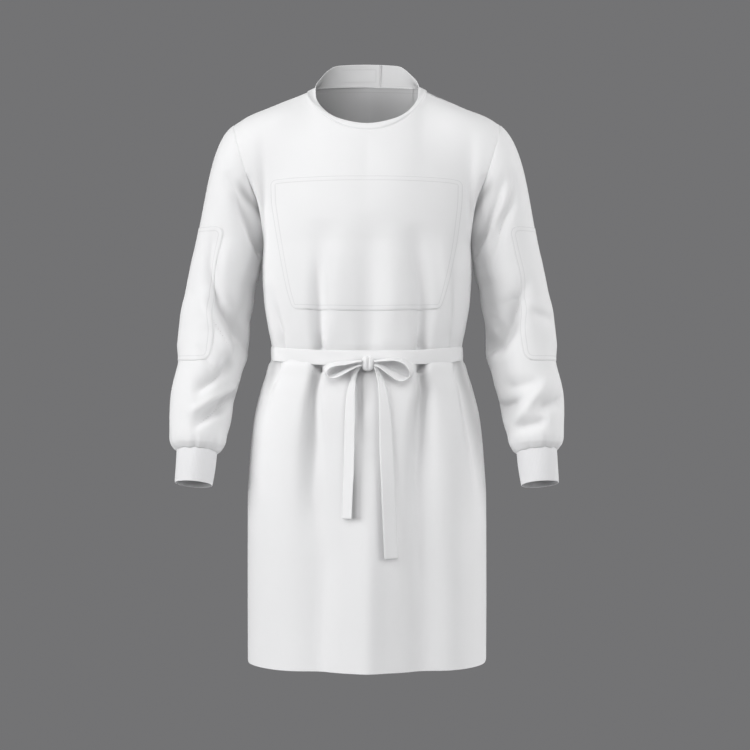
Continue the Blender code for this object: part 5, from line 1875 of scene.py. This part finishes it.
class GOWN_OT_bow(bpy.types.Operator):
    """Make the knot, the two loops and the two tails"""

    bl_idname = "gown.bow"
    bl_label = "Bow"

    def execute(self, context):
        sizes = context.scene.gown_sizes
        knot = shell_free("knot_cloth", knot_grid(), finish("belt_cloth"))
        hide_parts("belt_knot")
        for label, loop in (("left", LEFT_LOOP), ("right", RIGHT_LOOP)):
            grid = loop_grid(loop)
            piece = shell("bow_loop_cloth_" + label, grid, sizes.band_thickness,
                          finish("belt_cloth"), edge=strip_edge(grid))
            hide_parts("bow_loop_" + label)
        for label, tail in (("left", LEFT_TAIL), ("right", RIGHT_TAIL)):
            grid = tail_grid(tail)
            piece = shell("belt_tail_cloth_" + label, grid, sizes.band_thickness,
                          finish("belt_cloth"), edge=strip_edge(grid))
            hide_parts("belt_tail_" + label)
        return {"FINISHED"}


class GOWN_OT_stage(bpy.types.Operator):
    """Make the floor, the lights, the background and the camera"""

    bl_idname = "gown.stage"
    bl_label = "Stage"

    def execute(self, context):
        sizes = context.scene.gown_sizes
        add_floor(sizes)
        add_backdrop(context.scene)
        for turn, rise, power in zip(*LIGHTS.values()):
            add_light(turn, rise, power)
        add_camera(context.scene)
        return {"FINISHED"}


def stitch_distance(run, far):
    """Distance on the neckband from the stitches of its fastening strip."""
    share = np.array(BAND_ROWS)[:, None]
    angle = band_angles()[None, :]
    (first, low), (last, high) = BAND_STITCHES[0], BAND_STITCHES[7]
    level = (angle >= last) & (angle <= first)
    upright = (share >= low) & (share <= high)
    start = run[:, np.argmin(np.abs(angle[0] - last))][:, None]
    away = np.where(upright, np.abs(run - start), 1.0)
    for row in (low, high):
        away = np.minimum(away, np.where(level, np.abs(far - row * far[-1:]), 1.0))
    return away


def edged(values):
    """The same columns with one more close beside each side edge."""
    near, next_one = EDGE_SHARES
    first = values[:, :1] * near + values[:, 1:2] * next_one
    last = values[:, -1:] * near + values[:, -2:-1] * next_one
    return np.concatenate([values[:, :1], first, values[:, 1:-1], last, values[:, -1:]], axis=1)


def top_distance(grid):
    """Distance down from the top edge of a body panel."""
    return run_along(grid[::-1])[::-1]


def strip_edge(grid):
    """Distance in from the nearer long edge of a strip."""
    if grid.shape[0] > grid.shape[1]:
        return side_distance(grid)
    far = run_along(grid)
    return np.minimum(far, far[-1:] - far)


def shell_free(name, grid, material):
    """Closed form from rings: its first and last rings meet in points."""
    rows, columns = grid.shape[:2]
    points = np.concatenate([grid[1:-1].reshape(-1, 3), grid[:1].mean(axis=1),
                             grid[-1:].mean(axis=1)])
    faces = quads(rows - 2, columns, True, False).tolist()
    low = (rows - 2) * columns
    for i in range(columns):
        k = (i + 1) % columns
        faces.append([low, k, i])
        faces.append([low + 1, low - columns + i, low - columns + k])
    mesh = new_mesh(name, points, faces)
    places = cloth_places(grid)[1:-1].reshape(-1, 3)
    add_numbers(mesh, "cloth_place", np.concatenate([places, places[:1], places[-1:]]))
    return new_piece(name, mesh, material)


# ---------------------------------------------------------------- stage
LIGHT_CENTRE = (0.0, 0.0, -0.55)
LIGHT_DISTANCE = 4.0
LIGHT_SIZE = 2.2
FILL_STRENGTH = 0.55
FLOOR_SIDES = 128
# Inward and down from the floor's outer edge at each step of its rounded rim
FLOOR_RIM = ((0.012, 0.0), (0.004, 0.002), (0.0, 0.008), (0.0, 0.02))
CAMERA_PLACE = (0.0152, -3.365, -0.5377)
# Turn is from the front towards the wearer's left, in degrees, and rise is above level.
LIGHTS = table(
    ("turn", "rise", "power"),
    (-64, 11, 106),
    (-40, 42, 32),
    (4, 34, 44),
    (46, 44, 18),
    (54, 9, 56),
    (114, 5, 58),
    (178, 42, 22),
)


def add_light(turn, rise, power):
    name = "soft_light_%d_%d" % (turn, rise)
    data = bpy.data.lights.new(name, "AREA")
    data.shape = "SQUARE"
    data.size = LIGHT_SIZE
    data.energy = power
    turn, rise = math.radians(turn), math.radians(rise)
    away = Vector((math.sin(turn) * math.cos(rise), -math.cos(turn) * math.cos(rise),
                   math.sin(rise)))
    light = bpy.data.objects.new(name, data)
    light.location = Vector(LIGHT_CENTRE) + away * LIGHT_DISTANCE
    light.rotation_mode = "QUATERNION"
    light.rotation_quaternion = (-away).to_track_quat("-Z", "Y")
    light.visible_camera = False
    bpy.context.scene.collection.objects.link(light)


def add_floor(sizes):
    level = float(BODY["height"].min()) - sizes.floor_drop
    turn = full_turn(FLOOR_SIDES)
    points = [(0.0, 0.0, level)]
    faces = []
    for inward, down in FLOOR_RIM:
        radius = sizes.floor_radius - inward
        points += [(radius * x, radius * y, level - down)
                   for x, y in zip(np.cos(turn), np.sin(turn))]
    for i in range(FLOOR_SIDES):
        k = (i + 1) % FLOOR_SIDES
        faces.append((0, 1 + i, 1 + k))
        for step in range(len(FLOOR_RIM) - 1):
            low = 1 + step * FLOOR_SIDES
            faces.append((low + i, low + FLOOR_SIDES + i, low + FLOOR_SIDES + k, low + k))
    mesh = new_mesh("round_floor", points, faces)
    mesh.update()
    colour = tuple(bpy.context.scene.gown_colours.floor)
    mesh.materials.append(uneven_material("pale_floor", colour, roughness=0.8, scale=6.0, dark=0.96))
    mesh.shade_smooth()
    floor = bpy.data.objects.new("round_floor", mesh)
    bpy.context.scene.collection.objects.link(floor)


def add_backdrop(scene):
    """Plain background, brighter to the camera than the fill light it gives."""
    world = bpy.data.worlds.new("plain_backdrop")
    world.use_nodes = True
    tree = world.node_tree
    ground = tree.nodes["Background"]
    fill = add_node(tree, "Background")
    for shader, strength in ((ground, 1.0), (fill, FILL_STRENGTH)):
        feed(tree, tuple(scene.gown_colours.backdrop), shader.inputs["Color"])
        feed(tree, strength, shader.inputs["Strength"])
    seen = add_node(tree, "LightPath").outputs["Is Camera Ray"]
    mix = add_node(tree, "MixShader", {0: seen, 1: fill.outputs[0], 2: ground.outputs[0]})
    feed(tree, mix.outputs[0], tree.nodes["World Output"].inputs["Surface"])
    scene.world = world
    scene.view_settings.view_transform = "Standard"
    scene.view_settings.look = "None"


def add_camera(scene):
    data = bpy.data.cameras.new("camera")
    data.lens = 85.0
    data.sensor_width = 36.0
    data.clip_end = 50.0
    camera = bpy.data.objects.new("camera", data)
    camera.location = CAMERA_PLACE
    camera.rotation_euler = (math.radians(90.0), 0.0, 0.0)
    scene.collection.objects.link(camera)
    scene.camera = camera


# ---------------------------------------------------------------- panel and registration
PIECES = (GOWN_OT_front, GOWN_OT_backs, GOWN_OT_sleeves, GOWN_OT_cuffs, GOWN_OT_neckband,
          GOWN_OT_chest_reinforcement, GOWN_OT_sleeve_reinforcements, GOWN_OT_belt, GOWN_OT_bow,
          GOWN_OT_stage)


class GOWN_PT_pieces(bpy.types.Panel):
    """List the gown's pieces, sizes and colours"""

    bl_idname = "GOWN_PT_pieces"
    bl_label = "Surgical gown"
    bl_space_type = "VIEW_3D"
    bl_region_type = "UI"
    bl_category = "Gown"

    def draw(self, context):
        for settings in (context.scene.gown_sizes, context.scene.gown_colours):
            for name in type(settings).__annotations__:
                self.layout.prop(settings, name)
        for piece in PIECES:
            self.layout.operator(piece.bl_idname)


CLASSES = (GownSizes, GownColours) + PIECES + (GOWN_PT_pieces,)


def register():
    for item in CLASSES:
        bpy.utils.register_class(item)
    bpy.types.Scene.gown_sizes = bpy.props.PointerProperty(type=GownSizes)
    bpy.types.Scene.gown_colours = bpy.props.PointerProperty(type=GownColours)


def unregister():
    del bpy.types.Scene.gown_colours
    del bpy.types.Scene.gown_sizes
    for item in reversed(CLASSES):
        bpy.utils.unregister_class(item)


def main():
    register()
    bpy.ops.gown.front()
    bpy.ops.gown.backs()
    bpy.ops.gown.sleeves()
    bpy.ops.gown.cuffs()
    bpy.ops.gown.neckband()
    bpy.ops.gown.chest_reinforcement()
    bpy.ops.gown.sleeve_reinforcements()
    bpy.ops.gown.belt()
    bpy.ops.gown.bow()
    bpy.ops.gown.stage()


if __name__ == "__main__":
    main()
